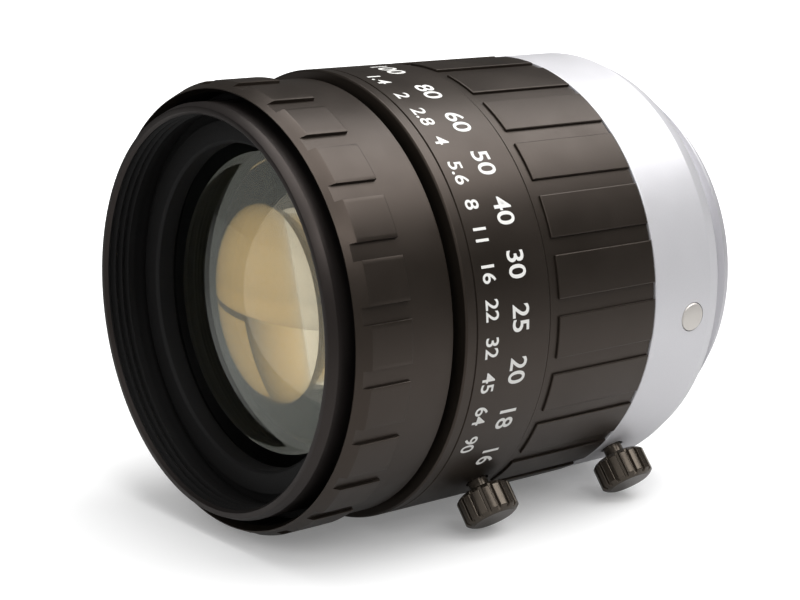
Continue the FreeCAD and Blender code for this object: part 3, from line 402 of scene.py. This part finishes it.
def soften(shape: bmesh.types.BMesh, size: float, angle: float = 28.0, segments: int = 2,
           where: Optional[Callable[[Vector], bool]] = None) -> None:
    """Rounds the sharp edges of a shape.

    Args:
        shape: the shape.
        size: how far the rounding reaches from each edge, in mm.
        angle: the least turn of an edge that is rounded, in degrees.
        segments: faces across the rounding.
        where: a test that an edge's middle has to pass.
    """
    edges = outward(shape.edges, angle)
    if where is not None:
        edges = [e for e in edges if where((e.verts[0].co + e.verts[1].co) / 2.0)]
    bmesh.ops.bevel(shape, geom=edges, offset=size, offset_type="OFFSET", segments=segments,
                    profile=0.5, affect="EDGES", clamp_overlap=True, material=-1)


def shown(shape: bmesh.types.BMesh, name: str, keys: Sequence[Finish], sharp: float = 20.0,
          place: Optional[Matrix] = None) -> bpy.types.Object:
    """Turns a finished shape into an object in metres.

    Args:
        shape: the shape, in mm.
        name: the piece's name.
        keys: its finishes, in the order of its material indices.
        sharp: edges that turn by more than this stay sharp, in degrees.
        place: a transform that takes the shape to its place, in mm.

    Returns:
        The object, at the origin.
    """
    if place is not None:
        bmesh.ops.transform(shape, matrix=place, verts=shape.verts)
    bmesh.ops.scale(shape, vec=(MM, MM, MM), verts=shape.verts)
    for face in shape.faces:
        face.smooth = True
    for edge in outward(shape.edges, sharp):
        edge.smooth = False
    mesh = bpy.data.meshes.new(name)
    shape.to_mesh(mesh)
    shape.free()
    piece = bpy.data.objects.new(name, mesh)
    bpy.context.scene.collection.objects.link(piece)
    for key in keys:
        mesh.materials.append(key.material())
    weighted = piece.modifiers.new("weighted", "WEIGHTED_NORMAL")
    weighted.keep_sharp = True
    return piece


def settle(piece: bpy.types.Object, body: Body, slot: Slot, *nodes: str) -> None:
    """Ties a piece to its body and to the CAD nodes that it stands for.

    Args:
        piece: the piece.
        body: the body it rides on.
        slot: the record's material slot; not used.
        nodes: the CAD nodes it replaces.
    """
    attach(piece, body.value)
    if nodes:
        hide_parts(*nodes)
    log.info("%s: %d faces", piece.name, len(piece.data.polygons))


def carve(piece: bpy.types.Object, cutters: Sequence[bmesh.types.BMesh]) -> None:
    """Cuts shapes out of a piece's mesh.

    Args:
        piece: the piece, already in metres.
        cutters: the shapes to take away, in metres.
    """
    for index, shape in enumerate(cutters):
        mesh = bpy.data.meshes.new("cutter")
        shape.to_mesh(mesh)
        shape.free()
        tool = bpy.data.objects.new("cutter", mesh)
        bpy.context.scene.collection.objects.link(tool)
        cut = piece.modifiers.new("cut" + str(index), "BOOLEAN")
        cut.object = tool
        cut.operation = "DIFFERENCE"
        cut.solver = "EXACT"
        others = [m for m in piece.modifiers if m != cut]
        for other in others:
            other.show_viewport = False
        graph = bpy.context.evaluated_depsgraph_get()
        result = bpy.data.meshes.new_from_object(piece.evaluated_get(graph))
        piece.modifiers.remove(cut)
        for other in piece.modifiers:
            other.show_viewport = True
        piece.data = result
        bpy.data.objects.remove(tool)


def peg(radius: float, low: float, high: float, place: Matrix) -> bmesh.types.BMesh:
    """A round peg along a placed Z axis, in metres, to cut a hole with.

    Args:
        radius: the peg's radius in mm.
        low: where it starts along its axis, in mm.
        high: where it ends, in mm.
        place: where its axis lies, in mm.

    Returns:
        The shape, in metres.
    """
    shape = bmesh.new()
    bmesh.ops.create_cone(shape, cap_ends=True, segments=48, radius1=radius, radius2=radius,
                          depth=high - low, matrix=Matrix.Translation((0, 0, (low + high) / 2.0)))
    bmesh.ops.transform(shape, matrix=place, verts=shape.verts)
    bmesh.ops.scale(shape, vec=(MM, MM, MM), verts=shape.verts)
    return shape


def radial(station: float, angle: float) -> Matrix:
    """Takes the Z axis to a radial line of the lens.

    Args:
        station: the line's place along the axis, in mm.
        angle: its angle from +X towards +Z, in degrees.

    Returns:
        The transform, in mm.
    """
    turn = Matrix.Rotation(math.radians(90.0 - angle), 4, "Y")
    return Matrix.Translation((0, station, 0)) @ turn


def thread_teeth(start: float, end: float, pitch: float, root: float, crest: float) -> list[Point]:
    """Profile points of a thread between two stations.

    Args:
        start: the first station.
        end: the last station.
        pitch: the thread's pitch.
        root: radius at the root.
        crest: radius at the crest.

    Returns:
        Radius and station of each point.
    """
    count = int(abs(end - start) / pitch)
    way = pitch if end > start else -pitch
    points = []
    for index in range(count):
        base = start + way * index
        points += [(root, base + way * 0.06), (crest, base + way * 0.44),
                   (crest, base + way * 0.56), (root, base + way * 0.94)]
    return points


def dome(vertex: float, curve: float, reach: float, count: int,
         hollow: bool = False) -> list[Point]:
    """Profile points of a spherical surface, from the axis outwards.

    Args:
        vertex: the surface's station on the axis.
        curve: its radius of curvature.
        reach: how far from the axis it goes.
        count: how many steps it takes.
        hollow: whether the edge lies in front of the vertex.

    Returns:
        Radius and station of each point.
    """
    points = []
    for index in range(count + 1):
        radius = reach * index / count
        drop = curve - math.sqrt(curve * curve - radius * radius)
        points.append((radius, vertex - drop if hollow else vertex + drop))
    return points


SEGMENTS_PER_PITCH = 14
GRIP_PADS = 24
ROUND = SEGMENTS_PER_PITCH * GRIP_PADS
PITCH = 360.0 / GRIP_PADS


def aligned(shape: bmesh.types.BMesh, first: float, width_steps: int) -> None:
    """Turns a spun ring so that its segments line up with its notch walls.

    Args:
        shape: the ring.
        first: angle of the middle of a notch, in degrees.
        width_steps: how many segments a notch takes.
    """
    step = 360.0 / ROUND
    wall = first - width_steps * step / 2.0
    turn = Matrix.Rotation(math.radians(-(wall % step)), 3, "Y")
    bmesh.ops.rotate(shape, cent=(0, 0, 0), matrix=turn, verts=shape.verts)


@dataclass
class FrontCell:
    """The front rim with its filter thread, the clamping ring and the front glass."""

    rim_front: float = -31.34
    rim_rear: float = -27.40
    rim_radius: float = 13.24
    chamfer: Point = (0.24, 0.56)
    thread_root: float = 12.50
    thread_crest: float = 12.78
    thread_pitch: float = 0.50
    thread_end: float = -29.10
    run_out: float = 12.75
    floor: float = -28.10
    glass_bore: float = 10.89
    tube: Point = (11.48, -20.40)
    tail: Point = (10.50, -18.40)
    pair_bore: float = 9.39
    retainer: Point = (10.50, 12.00)
    retainer_front: float = -28.50
    glass_vertex: float = -28.97
    glass_curve: float = 32.0
    glass_radius: float = 10.87
    glass_seat: float = -24.90
    glass_rear_curve: float = 60.0
    glass_clear: float = 9.3

    def rim(self) -> None:
        """Builds the rim, the threaded recess and the tube that holds the glass."""
        teeth = thread_teeth(self.rim_front + 0.30, self.thread_end, self.thread_pitch,
                             self.thread_root, self.thread_crest)
        points = [
            (self.rim_radius, self.rim_rear), (self.tube[0], self.rim_rear), self.tube,
            (self.tail[0], self.tube[1]), self.tail, (self.pair_bore, self.tail[1]),
            (self.pair_bore, self.glass_seat), (self.glass_bore, self.glass_seat),
            (self.glass_bore, self.floor), (self.run_out, self.floor),
            (self.run_out, self.thread_end), (self.thread_root, self.thread_end),
        ]
        points += list(reversed(teeth))
        points += [(self.thread_root, self.rim_front + 0.22),
                   (self.thread_root + 0.16, self.rim_front),
                   (self.rim_radius - self.chamfer[0], self.rim_front),
                   (self.rim_radius, self.rim_front + self.chamfer[1])]
        shape = turned(points, 288)
        soften(shape, 0.035, 24.0, 2, lambda place: place.y < self.rim_front + 0.8
               and math.hypot(place.x, place.z) > 12.55)
        for face in shape.faces:
            middle = face.calc_center_median()
            reach = math.hypot(middle.x, middle.z)
            deep = reach < 12.9 and middle.y > self.rim_front + 0.2
            seat = reach < 11.0 and middle.y > self.floor + 0.1
            # The seat wall behind the glass takes the finish painted lighter, a painted veil of
            # light.
            face.material_index = 2 if seat else 1 if deep else 0
        piece = shown(shape, "front_rim", [Finish.RIM, Finish.INNER, Finish.WALL])
        settle(piece, Body.BARREL, Slot.BLACK, "front_cell")

    def clamp_ring(self) -> None:
        """Builds the ring that clamps the front glass, bevelled towards it."""
        low, high = self.retainer
        contact = self.glass_vertex + self.glass_curve - math.sqrt(self.glass_curve ** 2 - low ** 2)
        points = [(low + 0.18, self.retainer_front), (high, self.retainer_front),
                  (high, self.floor), (self.glass_radius, self.floor),
                  (self.glass_radius, contact), (low, contact),
                  (low, self.retainer_front + 0.18)]
        shape = turned(points, 240)
        soften(shape, 0.03)
        piece = shown(shape, "front_clamp_ring", [Finish.INNER])
        settle(piece, Body.BARREL, Slot.BLACK, "front_retaining_ring")

    def glass(self) -> None:
        """Builds the front element as a solid piece of glass."""
        front = dome(self.glass_vertex, self.glass_curve, self.glass_radius, 24)
        seat_drop = self.glass_rear_curve - math.sqrt(
            self.glass_rear_curve ** 2 - self.glass_clear ** 2)
        rear = dome(self.glass_seat - seat_drop, self.glass_rear_curve, self.glass_clear, 20)
        points = front + [(self.glass_radius, self.glass_seat)] + list(reversed(rear))
        shape = turned(points, 192)
        piece = shown(shape, "front_element", [Finish.FRONT_GLASS], 30.0)
        settle(piece, Body.BARREL, Slot.FRONT_GLASS, "lens_1")

    def build(self) -> None:
        """Builds every piece of the front cell."""
        self.rim()
        self.clamp_ring()
        self.glass()


@dataclass
class InnerGlass:
    """The elements behind the front one."""

    pair_vertex: float = -25.275
    pair_curve: float = 17.0
    pair_radius: float = 9.37
    cement_vertex: float = -21.275
    cement_curve: float = 40.0
    cement_gap: float = 0.01
    last_front_curve: float = 34.0
    last_front_radius: float = 7.3
    last_rear_curve: float = 70.0
    last_radius: float = 8.6
    last_front: float = -4.4
    last_rear: float = -2.4

    def front_pair(self) -> None:
        """Builds the pair's clear front half; the coat is on the CAD element behind it."""
        front = dome(self.pair_vertex, self.pair_curve, self.pair_radius, 24)
        rear = dome(self.cement_vertex - self.cement_gap, self.cement_curve,
                    self.pair_radius, 12, True)
        shape = turned(front + list(reversed(rear)), 192)
        piece = shown(shape, "second_element", [Finish.PAIR_GLASS], 30.0)
        settle(piece, Body.BARREL, Slot.INNER_GLASS, "lens_2")

    def rear_element(self) -> None:
        """Builds the last element, seen from the camera side of the lens."""
        front_drop = self.last_front_curve - math.sqrt(
            self.last_front_curve ** 2 - self.last_front_radius ** 2)
        front = dome(self.last_front - front_drop, self.last_front_curve,
                     self.last_front_radius, 16)
        edge = self.last_rear + self.last_rear_curve - math.sqrt(
            self.last_rear_curve ** 2 - self.last_radius ** 2)
        rear = dome(edge, self.last_rear_curve, self.last_radius, 20, True)
        shape = turned(front + [(self.last_radius, self.last_front)] + list(reversed(rear)), 160)
        piece = shown(shape, "last_element", [Finish.INNER_GLASS], 30.0)
        settle(piece, Body.BARREL, Slot.INNER_GLASS, "lens_6")

    def build(self) -> None:
        """Builds the elements that can be seen."""
        self.front_pair()
        self.rear_element()


@dataclass
class IrisRing:
    """The front ring: a bevel, 24 grip pads, a smooth band and the skirt behind it."""

    front: float = -30.16
    bevel_rear: float = -29.26
    step: float = -26.27
    rear: float = -22.91
    lip_outer: float = 14.09
    lip_inner: float = 13.78
    pad_radius: float = 14.50
    band_radius: float = 14.20
    floor_radius: float = 14.28
    groove_floor: float = -27.30
    skirt: Point = (12.10, 13.00)
    skirt_rear: float = -16.35
    notch_middle: float = 8.35
    notch_steps: int = 4

    def bevel_floor(self) -> float:
        """Gives the station where the bevel reaches the notch floor's radius."""
        share = (self.floor_radius - self.lip_outer) / (self.pad_radius - self.lip_outer)
        return self.front + (self.bevel_rear - self.front) * share

    def build(self) -> None:
        """Builds the ring."""
        points = [
            (self.skirt[0], self.groove_floor), (self.lip_inner, self.groove_floor),
            (self.lip_inner, self.front + 0.56), (self.lip_outer - 0.06, self.front),
            (self.lip_outer, self.front), (self.floor_radius, self.bevel_floor()),
            (self.pad_radius, self.bevel_rear),
            (self.pad_radius, self.step), (self.band_radius, self.step),
            (self.band_radius, self.rear - 0.10), (self.band_radius - 0.10, self.rear),
            (self.skirt[1], self.rear), (self.skirt[1], self.skirt_rear),
            (self.skirt[0], self.skirt_rear),
        ]
        shape = turned(points, ROUND)
        aligned(shape, self.notch_middle, self.notch_steps)
        notch(shape, self.floor_radius, (self.bevel_floor(), self.step), PITCH, self.notch_middle,
              360.0 / ROUND * self.notch_steps)
        soften(shape, 0.05, 20.0, 2,
               lambda place: math.hypot(place.x, place.z) > self.pad_radius - 0.10)
        for face in shape.faces:
            middle = face.calc_center_median()
            inner = math.hypot(middle.x, middle.z) < self.lip_inner + 0.12
            face.material_index = 1 if inner else 0
        piece = shown(shape, "iris_grip_ring", [Finish.BLACK, Finish.INNER])
        settle(piece, Body.IRIS, Slot.BLACK, "iris_ring")


@dataclass
class LabelRing:
    """The middle ring with its engraved numbers and its thin groove."""

    front: float = -22.41
    rear: float = -15.60
    radius: float = 14.75
    bore: float = 13.20
    line: float = -21.62
    line_width: float = 0.12
    line_depth: float = 0.09
    paint_lift: float = 0.012
    stroke_gain: float = 0.014
    slice_width: float = 0.2
    screw_station: float = -16.80
    screw_angle: float = -50.9
    screw_hole: float = 0.80
    large_row: float = -18.15
    large_size: float = 1.86
    small_row: float = -20.42
    small_size: float = 1.42
    large_text: Sequence[tuple[float, str]] = (
        (84.0, "100"), (67.0, "80"), (54.0, "60"), (41.0, "50"), (28.0, "40"), (15.0, "30"),
        (2.0, "25"), (-11.0, "20"), (-24.0, "18"), (-37.0, "16"))
    small_text: Sequence[tuple[float, str]] = (
        (76.0, "1.4"), (66.0, "2"), (57.0, "2.8"), (48.5, "4"), (39.0, "5.6"), (30.5, "8"),
        (23.0, "11"), (14.0, "16"), (5.0, "22"), (-4.0, "32"), (-13.0, "45"), (-22.0, "64"),
        (-31.0, "90"))

    def sleeve(self) -> None:
        """Builds the ring with its groove and its screw hole."""
        low = self.line
        high = self.line + self.line_width
        points = [
            (self.bore, self.front), (self.radius - 0.10, self.front),
            (self.radius, self.front + 0.10), (self.radius, low),
            (self.radius - self.line_depth, low + 0.02),
            (self.radius - self.line_depth, high - 0.02), (self.radius, high),
            (self.radius, self.rear - 0.10), (self.radius - 0.10, self.rear),
            (self.bore, self.rear),
        ]
        shape = turned(points, 300)
        soften(shape, 0.02, 24.0, 1)
        piece = shown(shape, "label_sleeve", [Finish.BLACK])
        hole = peg(self.screw_hole, 12.0, 16.0, radial(self.screw_station, self.screw_angle))
        carve(piece, [hole])
        settle(piece, Body.BARREL, Slot.BLACK, "label_ring")

    def glyphs(self, text: str, size: float) -> bmesh.types.BMesh:
        """Makes a flat number, centred, with cuts across it so that it can bend.

        Args:
            text: the number.
            size: the height of the font, in mm.

        Returns:
            The shape in the XY plane, in mm.
        """
        curve = bpy.data.curves.new("number", "FONT")
        curve.body = text
        curve.size = size
        curve.align_x = "CENTER"
        curve.align_y = "CENTER"
        curve.offset = self.stroke_gain * size
        holder = bpy.data.objects.new("number", curve)
        bpy.context.scene.collection.objects.link(holder)
        graph = bpy.context.evaluated_depsgraph_get()
        mesh = bpy.data.meshes.new_from_object(holder.evaluated_get(graph))
        bpy.data.objects.remove(holder)
        shape = bmesh.new()
        shape.from_mesh(mesh)
        bpy.data.meshes.remove(mesh)
        reach = max(abs(v.co.x) for v in shape.verts)
        steps = int(reach / self.slice_width) + 1
        for index in range(-steps, steps + 1):
            everything = shape.verts[:] + shape.edges[:] + shape.faces[:]
            bmesh.ops.bisect_plane(shape, geom=everything, plane_no=(1, 0, 0),
                                   plane_co=(index * self.slice_width, 0, 0))
        return shape

    def row(self, name: str, station: float, size: float,
            text: Sequence[tuple[float, str]]) -> None:
        """Builds one row of numbers round the ring.

        Args:
            name: the piece's name.
            station: the row's middle along the axis.
            size: the height of the font, in mm.
            text: angle and number, in reading order.
        """
        whole = bmesh.new()
        for angle, number in text:
            flat = self.glyphs(number, size)
            lift = self.radius + self.paint_lift
            for vert in flat.verts:
                turn = math.radians(angle) - vert.co.x / lift
                vert.co = Vector((lift * math.cos(turn), station + vert.co.y,
                                  lift * math.sin(turn)))
            mesh = bpy.data.meshes.new("bent")
            flat.to_mesh(mesh)
            flat.free()
            whole.from_mesh(mesh)
            bpy.data.meshes.remove(mesh)
        bmesh.ops.remove_doubles(whole, verts=whole.verts, dist=1e-4)
        for face in whole.faces:
            face.normal_update()
            middle = face.calc_center_median()
            if face.normal.dot(Vector((middle.x, 0, middle.z))) < 0:
                face.normal_flip()
        piece = shown(whole, name, [Finish.PAINT])
        settle(piece, Body.BARREL, Slot.BLACK)

    def build(self) -> None:
        """Builds the ring and its two rows of numbers."""
        self.sleeve()
        self.row("distance_numbers", self.large_row, self.large_size, self.large_text)
        self.row("aperture_numbers", self.small_row, self.small_size, self.small_text)


@dataclass
class FocusRing:
    """The wide rear ring with its long grip pads."""

    front: float = -15.55
    land_rear: float = -14.82
    rear: float = -6.42
    radius: float = 14.75
    land_radius: float = 14.60
    floor_radius: float = 14.57
    bore: float = 12.60
    relief: Point = (13.35, -14.40)
    notch_middle: float = 2.65
    notch_steps: int = 4

    def build(self) -> None:
        """Builds the ring."""
        points = [
            (self.bore, self.rear), (self.bore, self.relief[1]), self.relief,
            (self.relief[0], self.front),
            (self.land_radius - 0.08, self.front), (self.land_radius, self.front + 0.08),
            (self.land_radius, self.land_rear), (self.radius, self.land_rear),
            (self.radius, self.rear), (self.floor_radius, self.rear),
        ]
        shape = turned(points, ROUND)
        aligned(shape, self.notch_middle, self.notch_steps)
        notch(shape, self.floor_radius, (self.land_rear, self.rear), PITCH, self.notch_middle,
              360.0 / ROUND * self.notch_steps)
        soften(shape, 0.06, 24.0, 2,
               lambda place: math.hypot(place.x, place.z) > self.radius - 0.05)
        piece = shown(shape, "focus_grip_ring", [Finish.BLACK])
        settle(piece, Body.FOCUS, Slot.BLACK, "focus_ring")


@dataclass
class Mount:
    """The silver barrel with the flange and the mount thread, and the guide pin."""

    front: float = -6.32
    radius: float = 14.70
    chamfer: Point = (0.45, 1.18)
    thread_radius: float = 12.70
    thread_depth: float = 0.42
    thread_pitch: float = 0.794
    thread_end: float = 3.30
    bore: float = 11.40
    hollow: Point = (12.65, -3.75)
    pin_station: float = -2.75
    pin_angle: float = -6.2
    pin_radius: float = 0.95
    pin_reach: Point = (10.40, 14.80)
    screw_hole: float = 0.80
    screw_station: float = -4.60
    screw_angle: float = -50.9

    def barrel(self) -> None:
        """Builds the barrel in one piece with its thread."""
        teeth = thread_teeth(0.45, self.thread_end - 0.35, self.thread_pitch,
                             self.thread_radius - self.thread_depth, self.thread_radius)
        points = [
            (self.hollow[0], self.front), (self.radius - 0.06, self.front),
            (self.radius, self.front + 0.06),
            (self.radius, -self.chamfer[1]), (self.radius - self.chamfer[0], 0.0),
            (self.thread_radius - self.thread_depth, 0.0),
        ]
        points += teeth
        points += [(self.thread_radius - self.thread_depth - 0.1, self.thread_end),
                   (self.bore, self.thread_end), (self.bore, self.hollow[1]), self.hollow]
        shape = turned(points, 336)
        soften(shape, 0.04, 12.0, 2, lambda place: math.hypot(place.x, place.z) > 14.0)
        for face in shape.faces:
            middle = face.calc_center_median()
            reach = math.hypot(middle.x, middle.z)
            face.material_index = 1 if reach < 12.9 else 0
        piece = shown(shape, "silver_mount_barrel", [Finish.SILVER, Finish.THREAD])
        carve(piece, [
            peg(self.pin_radius + 0.05, 12.8, 16.0, radial(self.pin_station, self.pin_angle)),
            peg(self.screw_hole, 12.8, 16.0, radial(self.screw_station, self.screw_angle)),
        ])
        settle(piece, Body.MOUNT, Slot.SILVER, "mount_barrel")

    def pin(self) -> None:
        """Builds the guide pin, whose end stands a little proud of the barrel."""
        low, high = self.pin_reach
        wide = self.pin_radius
        points = [(0.0, low), (wide - 0.15, low), (wide, low + 0.15), (wide, high - 0.12),
                  (wide - 0.05, high - 0.05), (wide - 0.15, high - 0.01), (0.0, high)]
        shape = turned(points, 64, False)
        stand = Matrix.Rotation(math.radians(90.0), 4, "X")
        place = radial(self.pin_station, self.pin_angle) @ stand
        piece = shown(shape, "guide_pin_end", [Finish.PIN], 30.0, place)
        settle(piece, Body.MOUNT, Slot.STEEL, "guide_pin")

    def build(self) -> None:
        """Builds the barrel and its pin."""
        self.barrel()
        self.pin()


@dataclass
class LockScrew:
    """A knurled lock screw, square to the optical axis."""

    name: str
    node: str
    body: Body
    station: float
    tip: float
    angle: float = -50.9
    neck: float = 0.65
    point: float = 0.45
    face: float = 1.40
    head_low: float = 15.40
    head_high: float = 17.50
    head_radius: float = 1.85
    flutes: int = 16
    flute_floor: float = 1.62

    def build(self) -> None:
        """Builds the screw with its fluted head."""
        points = [
            (0.0, self.tip), (self.point, self.tip), (self.point, self.tip + 0.6),
            (self.neck, self.tip + 0.75), (self.neck, self.head_low), (self.face, self.head_low),
            (self.flute_floor, self.head_low + 0.10),
            (self.head_radius, self.head_low + 0.30), (self.head_radius, self.head_high - 0.30),
            (self.flute_floor, self.head_high - 0.10), (self.face, self.head_high),
            (0.0, self.head_high),
        ]
        shape = turned(points, self.flutes * 6, False)
        notch(shape, self.flute_floor, (self.head_low, self.head_high), 360.0 / self.flutes,
              360.0 / self.flutes / 6.0, 360.0 / self.flutes / 3.0)
        soften(shape, 0.03, 30.0, 1, lambda place: place.y > self.head_low - 0.1)
        stand = Matrix.Rotation(math.radians(90.0), 4, "X")
        place = radial(self.station, self.angle) @ stand
        piece = shown(shape, self.name, [Finish.SCREW], 20.0, place)
        settle(piece, self.body, Slot.BLACK, self.node)


@dataclass
class InnerParts:
    """The CAD pieces that keep their own shape and get a finish."""

    dark: Sequence[str] = ("optical_barrel", "rear_cell", "rear_retaining_ring", "rear_spacer",
                           "doublet_retaining_ring", "iris_base_plate", "iris_cam_ring")
    steel: Sequence[str] = ("focus_snap_ring", "iris_drive_screw")
    glass: Sequence[str] = ("lens_4", "lens_5")
    mirror: str = "lens_3"
    nut: str = "helicoid_nut"

    def build(self) -> None:
        """Gives each CAD piece its finish."""
        table = {name: Finish.INNER for name in self.dark}
        table.update({name: Finish.PIN for name in self.steel})
        table.update({name: Finish.INNER_GLASS for name in self.glass})
        table.update({self.mirror: Finish.COATED, self.nut: Finish.BRASS})
        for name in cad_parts:
            if name.startswith("iris_blade"):
                table[name] = Finish.BLADE
        for name, key in table.items():
            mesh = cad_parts[name].data
            mesh.materials.clear()
            mesh.materials.append(key.material())


@dataclass(frozen=True)
class Lamp:
    """A square soft lamp: place, aim and side in metres, power in watts."""

    name: str
    place: tuple[float, float, float]
    size: float
    power: float
    aim: tuple[float, float, float] = (0.0, -0.014, 0.0)

    def build(self) -> None:
        """Adds the lamp."""
        data = bpy.data.lights.new(self.name, "AREA")
        data.energy = self.power
        data.size = self.size
        lamp = bpy.data.objects.new(self.name, data)
        bpy.context.scene.collection.objects.link(lamp)
        lamp.location = self.place
        look = Vector(self.aim) - Vector(self.place)
        lamp.rotation_euler = look.to_track_quat("-Z", "Y").to_euler()


@dataclass
class Studio:
    """The floor, the lamps, the surroundings and the camera.

    The paper's painted light, lighter under the lens and darker farther off, and its glow go from a
    near value, under the lens, to a far one, over a reach in metres.
    """

    floor_level: float = -14.75
    reach_near: float = 0.035
    painted_falloff_reach: float = 0.10
    glow_reach: float = 0.12
    paper_lit_near: float = 0.48
    paper_dim_far: float = 0.20
    paper_lift: float = 0.37
    glow_near: float = 0.18
    glow_far: float = 0.95
    fill: float = 0.50
    shine: float = 0.06
    lamps: Sequence[Lamp] = (
        Lamp("overhead", (0.10, 0.16, 0.57), 0.70, 5.2),
        Lamp("front", (0.10, -0.55, 0.30), 0.60, 0.7),
        Lamp("side", (0.45, -0.14, 0.38), 0.20, 0.5))
    camera_place: tuple[float, float, float] = (0.09905, -0.09408, 0.02614)
    camera_azimuth: float = 51.687
    camera_elevation: float = 12.206
    camera_lens: float = 85.81

    def floor(self) -> None:
        """Lays a white paper floor that still takes the object's shadow.

        The paper's colour is painted lighter under the lens and darker farther off: painted light,
        standing for light that falls off away from the lens, which the object's gloss and glass
        show.
        The camera sees the paper's glow on top of its colour, glass sees half of the glow and gloss
        a little, so the floor runs out to white; in the object's gloss and glass this glow is
        painted light, though it lights no surface diffusely.
        """
        shape = bmesh.new()
        bmesh.ops.create_grid(shape, x_segments=1, y_segments=1, size=3.0)
        bmesh.ops.translate(shape, vec=(0, 0, self.floor_level * MM), verts=shape.verts)
        mesh = bpy.data.meshes.new("floor")
        shape.to_mesh(mesh)
        shape.free()
        plane = bpy.data.objects.new("floor", mesh)
        bpy.context.scene.collection.objects.link(plane)
        material, tree = new_material("white_paper_floor")
        path = add_node(tree, "ShaderNodeLightPath")
        place = add_node(tree, "ShaderNodeTexCoord")
        reach = add_node(tree, "ShaderNodeVectorMath", {"operation": "LENGTH"},
                         {0: place.outputs["Object"]})
        # Painted light: the paper's colour falls from light under the lens to dark farther off.
        painted_falloff = add_node(tree, "ShaderNodeMapRange",
                        {"From Min": self.reach_near, "From Max": self.painted_falloff_reach,
                         "To Min": self.paper_lit_near, "To Max": self.paper_dim_far},
                        {"Value": reach.outputs["Value"]})
        level = add_node(tree, "ShaderNodeMapRange",
                         {"From Min": self.reach_near, "From Max": self.glow_reach,
                          "To Min": self.glow_near, "To Max": self.glow_far},
                         {"Value": reach.outputs["Value"]})
        white = add_node(tree, "ShaderNodeMath", {"operation": "MULTIPLY_ADD", 1: self.paper_lift},
                         {0: path.outputs["Is Camera Ray"], 2: painted_falloff.outputs["Result"]})
        paper = add_node(tree, "ShaderNodeBsdfDiffuse", links={"Color": white.outputs[0]})
        glow = add_node(tree, "ShaderNodeEmission", {"Color": (1.0, 1.0, 1.0, 1.0)})
        # Glass sees half the glow and gloss a little: a painted glow in the object's reflections.
        clear = add_node(tree, "ShaderNodeMath", {"operation": "MULTIPLY_ADD", 1: 0.5},
                         {0: path.outputs["Is Transmission Ray"], 2: path.outputs["Is Camera Ray"]})
        seen = add_node(tree, "ShaderNodeMath", {"operation": "MULTIPLY"},
                        {0: clear.outputs[0], 1: level.outputs["Result"]})
        lift = add_node(tree, "ShaderNodeMath", {"operation": "MULTIPLY_ADD", 1: 0.05},
                        {0: path.outputs["Is Glossy Ray"], 2: seen.outputs[0]})
        tree.links.new(lift.outputs[0], glow.inputs["Strength"])
        both = add_node(tree, "ShaderNodeAddShader")
        tree.links.new(paper.outputs[0], both.inputs[0])
        tree.links.new(glow.outputs[0], both.inputs[1])
        add_node(tree, "ShaderNodeOutputMaterial", links={"Surface": both.outputs[0]})
        mesh.materials.append(material)

    def surroundings(self) -> None:
        """Sets a white room: plain white to the camera, softer as light on the object.

        Through glass the room goes from dark, in front of the lens, to white at its left.
        """
        world = bpy.data.worlds.new("white_room")
        bpy.context.scene.world = world
        world.use_nodes = True
        tree = world.node_tree
        tree.nodes.clear()
        path = add_node(tree, "ShaderNodeLightPath")
        place = add_node(tree, "ShaderNodeTexCoord")
        axes = add_node(tree, "ShaderNodeSeparateXYZ", links={0: place.outputs["Generated"]})
        left = add_node(tree, "ShaderNodeMapRange",
                        {"From Min": -0.25, "From Max": -0.75, "To Min": 0.12, "To Max": 1.0},
                        {"Value": axes.outputs["X"]})
        through = add_node(tree, "ShaderNodeMath", {"operation": "MULTIPLY"},
                           {0: path.outputs["Is Transmission Ray"], 1: left.outputs["Result"]})
        seen = add_node(tree, "ShaderNodeMath", {"operation": "MAXIMUM"},
                        {0: path.outputs["Is Camera Ray"], 1: through.outputs[0]})
        shine = add_node(tree, "ShaderNodeMapRange", {"To Min": self.fill, "To Max": self.shine},
                         {"Value": path.outputs["Is Glossy Ray"]})
        level = add_node(tree, "ShaderNodeMath", {"operation": "MAXIMUM"},
                         {0: seen.outputs[0], 1: shine.outputs["Result"]})
        sky = add_node(tree, "ShaderNodeBackground", {"Color": (1.0, 1.0, 1.0, 1.0)},
                       {"Strength": level.outputs[0]})
        add_node(tree, "ShaderNodeOutputWorld", links={"Surface": sky.outputs[0]})

    def camera(self) -> None:
        """Sets the camera at the photograph's place."""
        data = bpy.data.cameras.new("camera")
        data.lens = self.camera_lens
        data.sensor_width = 36.0
        data.clip_start = 0.005
        data.clip_end = 20.0
        camera = bpy.data.objects.new("camera", data)
        bpy.context.scene.collection.objects.link(camera)
        a = math.radians(self.camera_azimuth)
        e = math.radians(self.camera_elevation)
        look = Vector((-math.sin(a) * math.cos(e), math.cos(a) * math.cos(e), -math.sin(e)))
        camera.location = self.camera_place
        camera.rotation_euler = look.to_track_quat("-Z", "Y").to_euler()
        bpy.context.scene.camera = camera

    def build(self) -> None:
        """Sets up the whole studio."""
        self.camera()
        self.floor()
        self.surroundings()
        for lamp in self.lamps:
            lamp.build()
        bpy.context.scene.view_settings.view_transform = "Standard"


def main() -> None:
    """Builds the lens and its studio."""
    logging.basicConfig(level=logging.INFO, format="%(name)s %(message)s")
    builders = [
        Studio(), FrontCell(), InnerGlass(), IrisRing(), LabelRing(), FocusRing(), Mount(),
        LockScrew("iris_lock_knob", "iris_lock_screw", Body.IRIS_SCREW, -16.80, 13.05),
        LockScrew("focus_lock_knob", "focus_lock_screw", Body.FOCUS_SCREW, -4.60, 12.65),
        InnerParts(),
    ]
    for builder in builders:
        builder.build()
        log.info("%s done", type(builder).__name__)


if __name__ == "__main__":
    main()
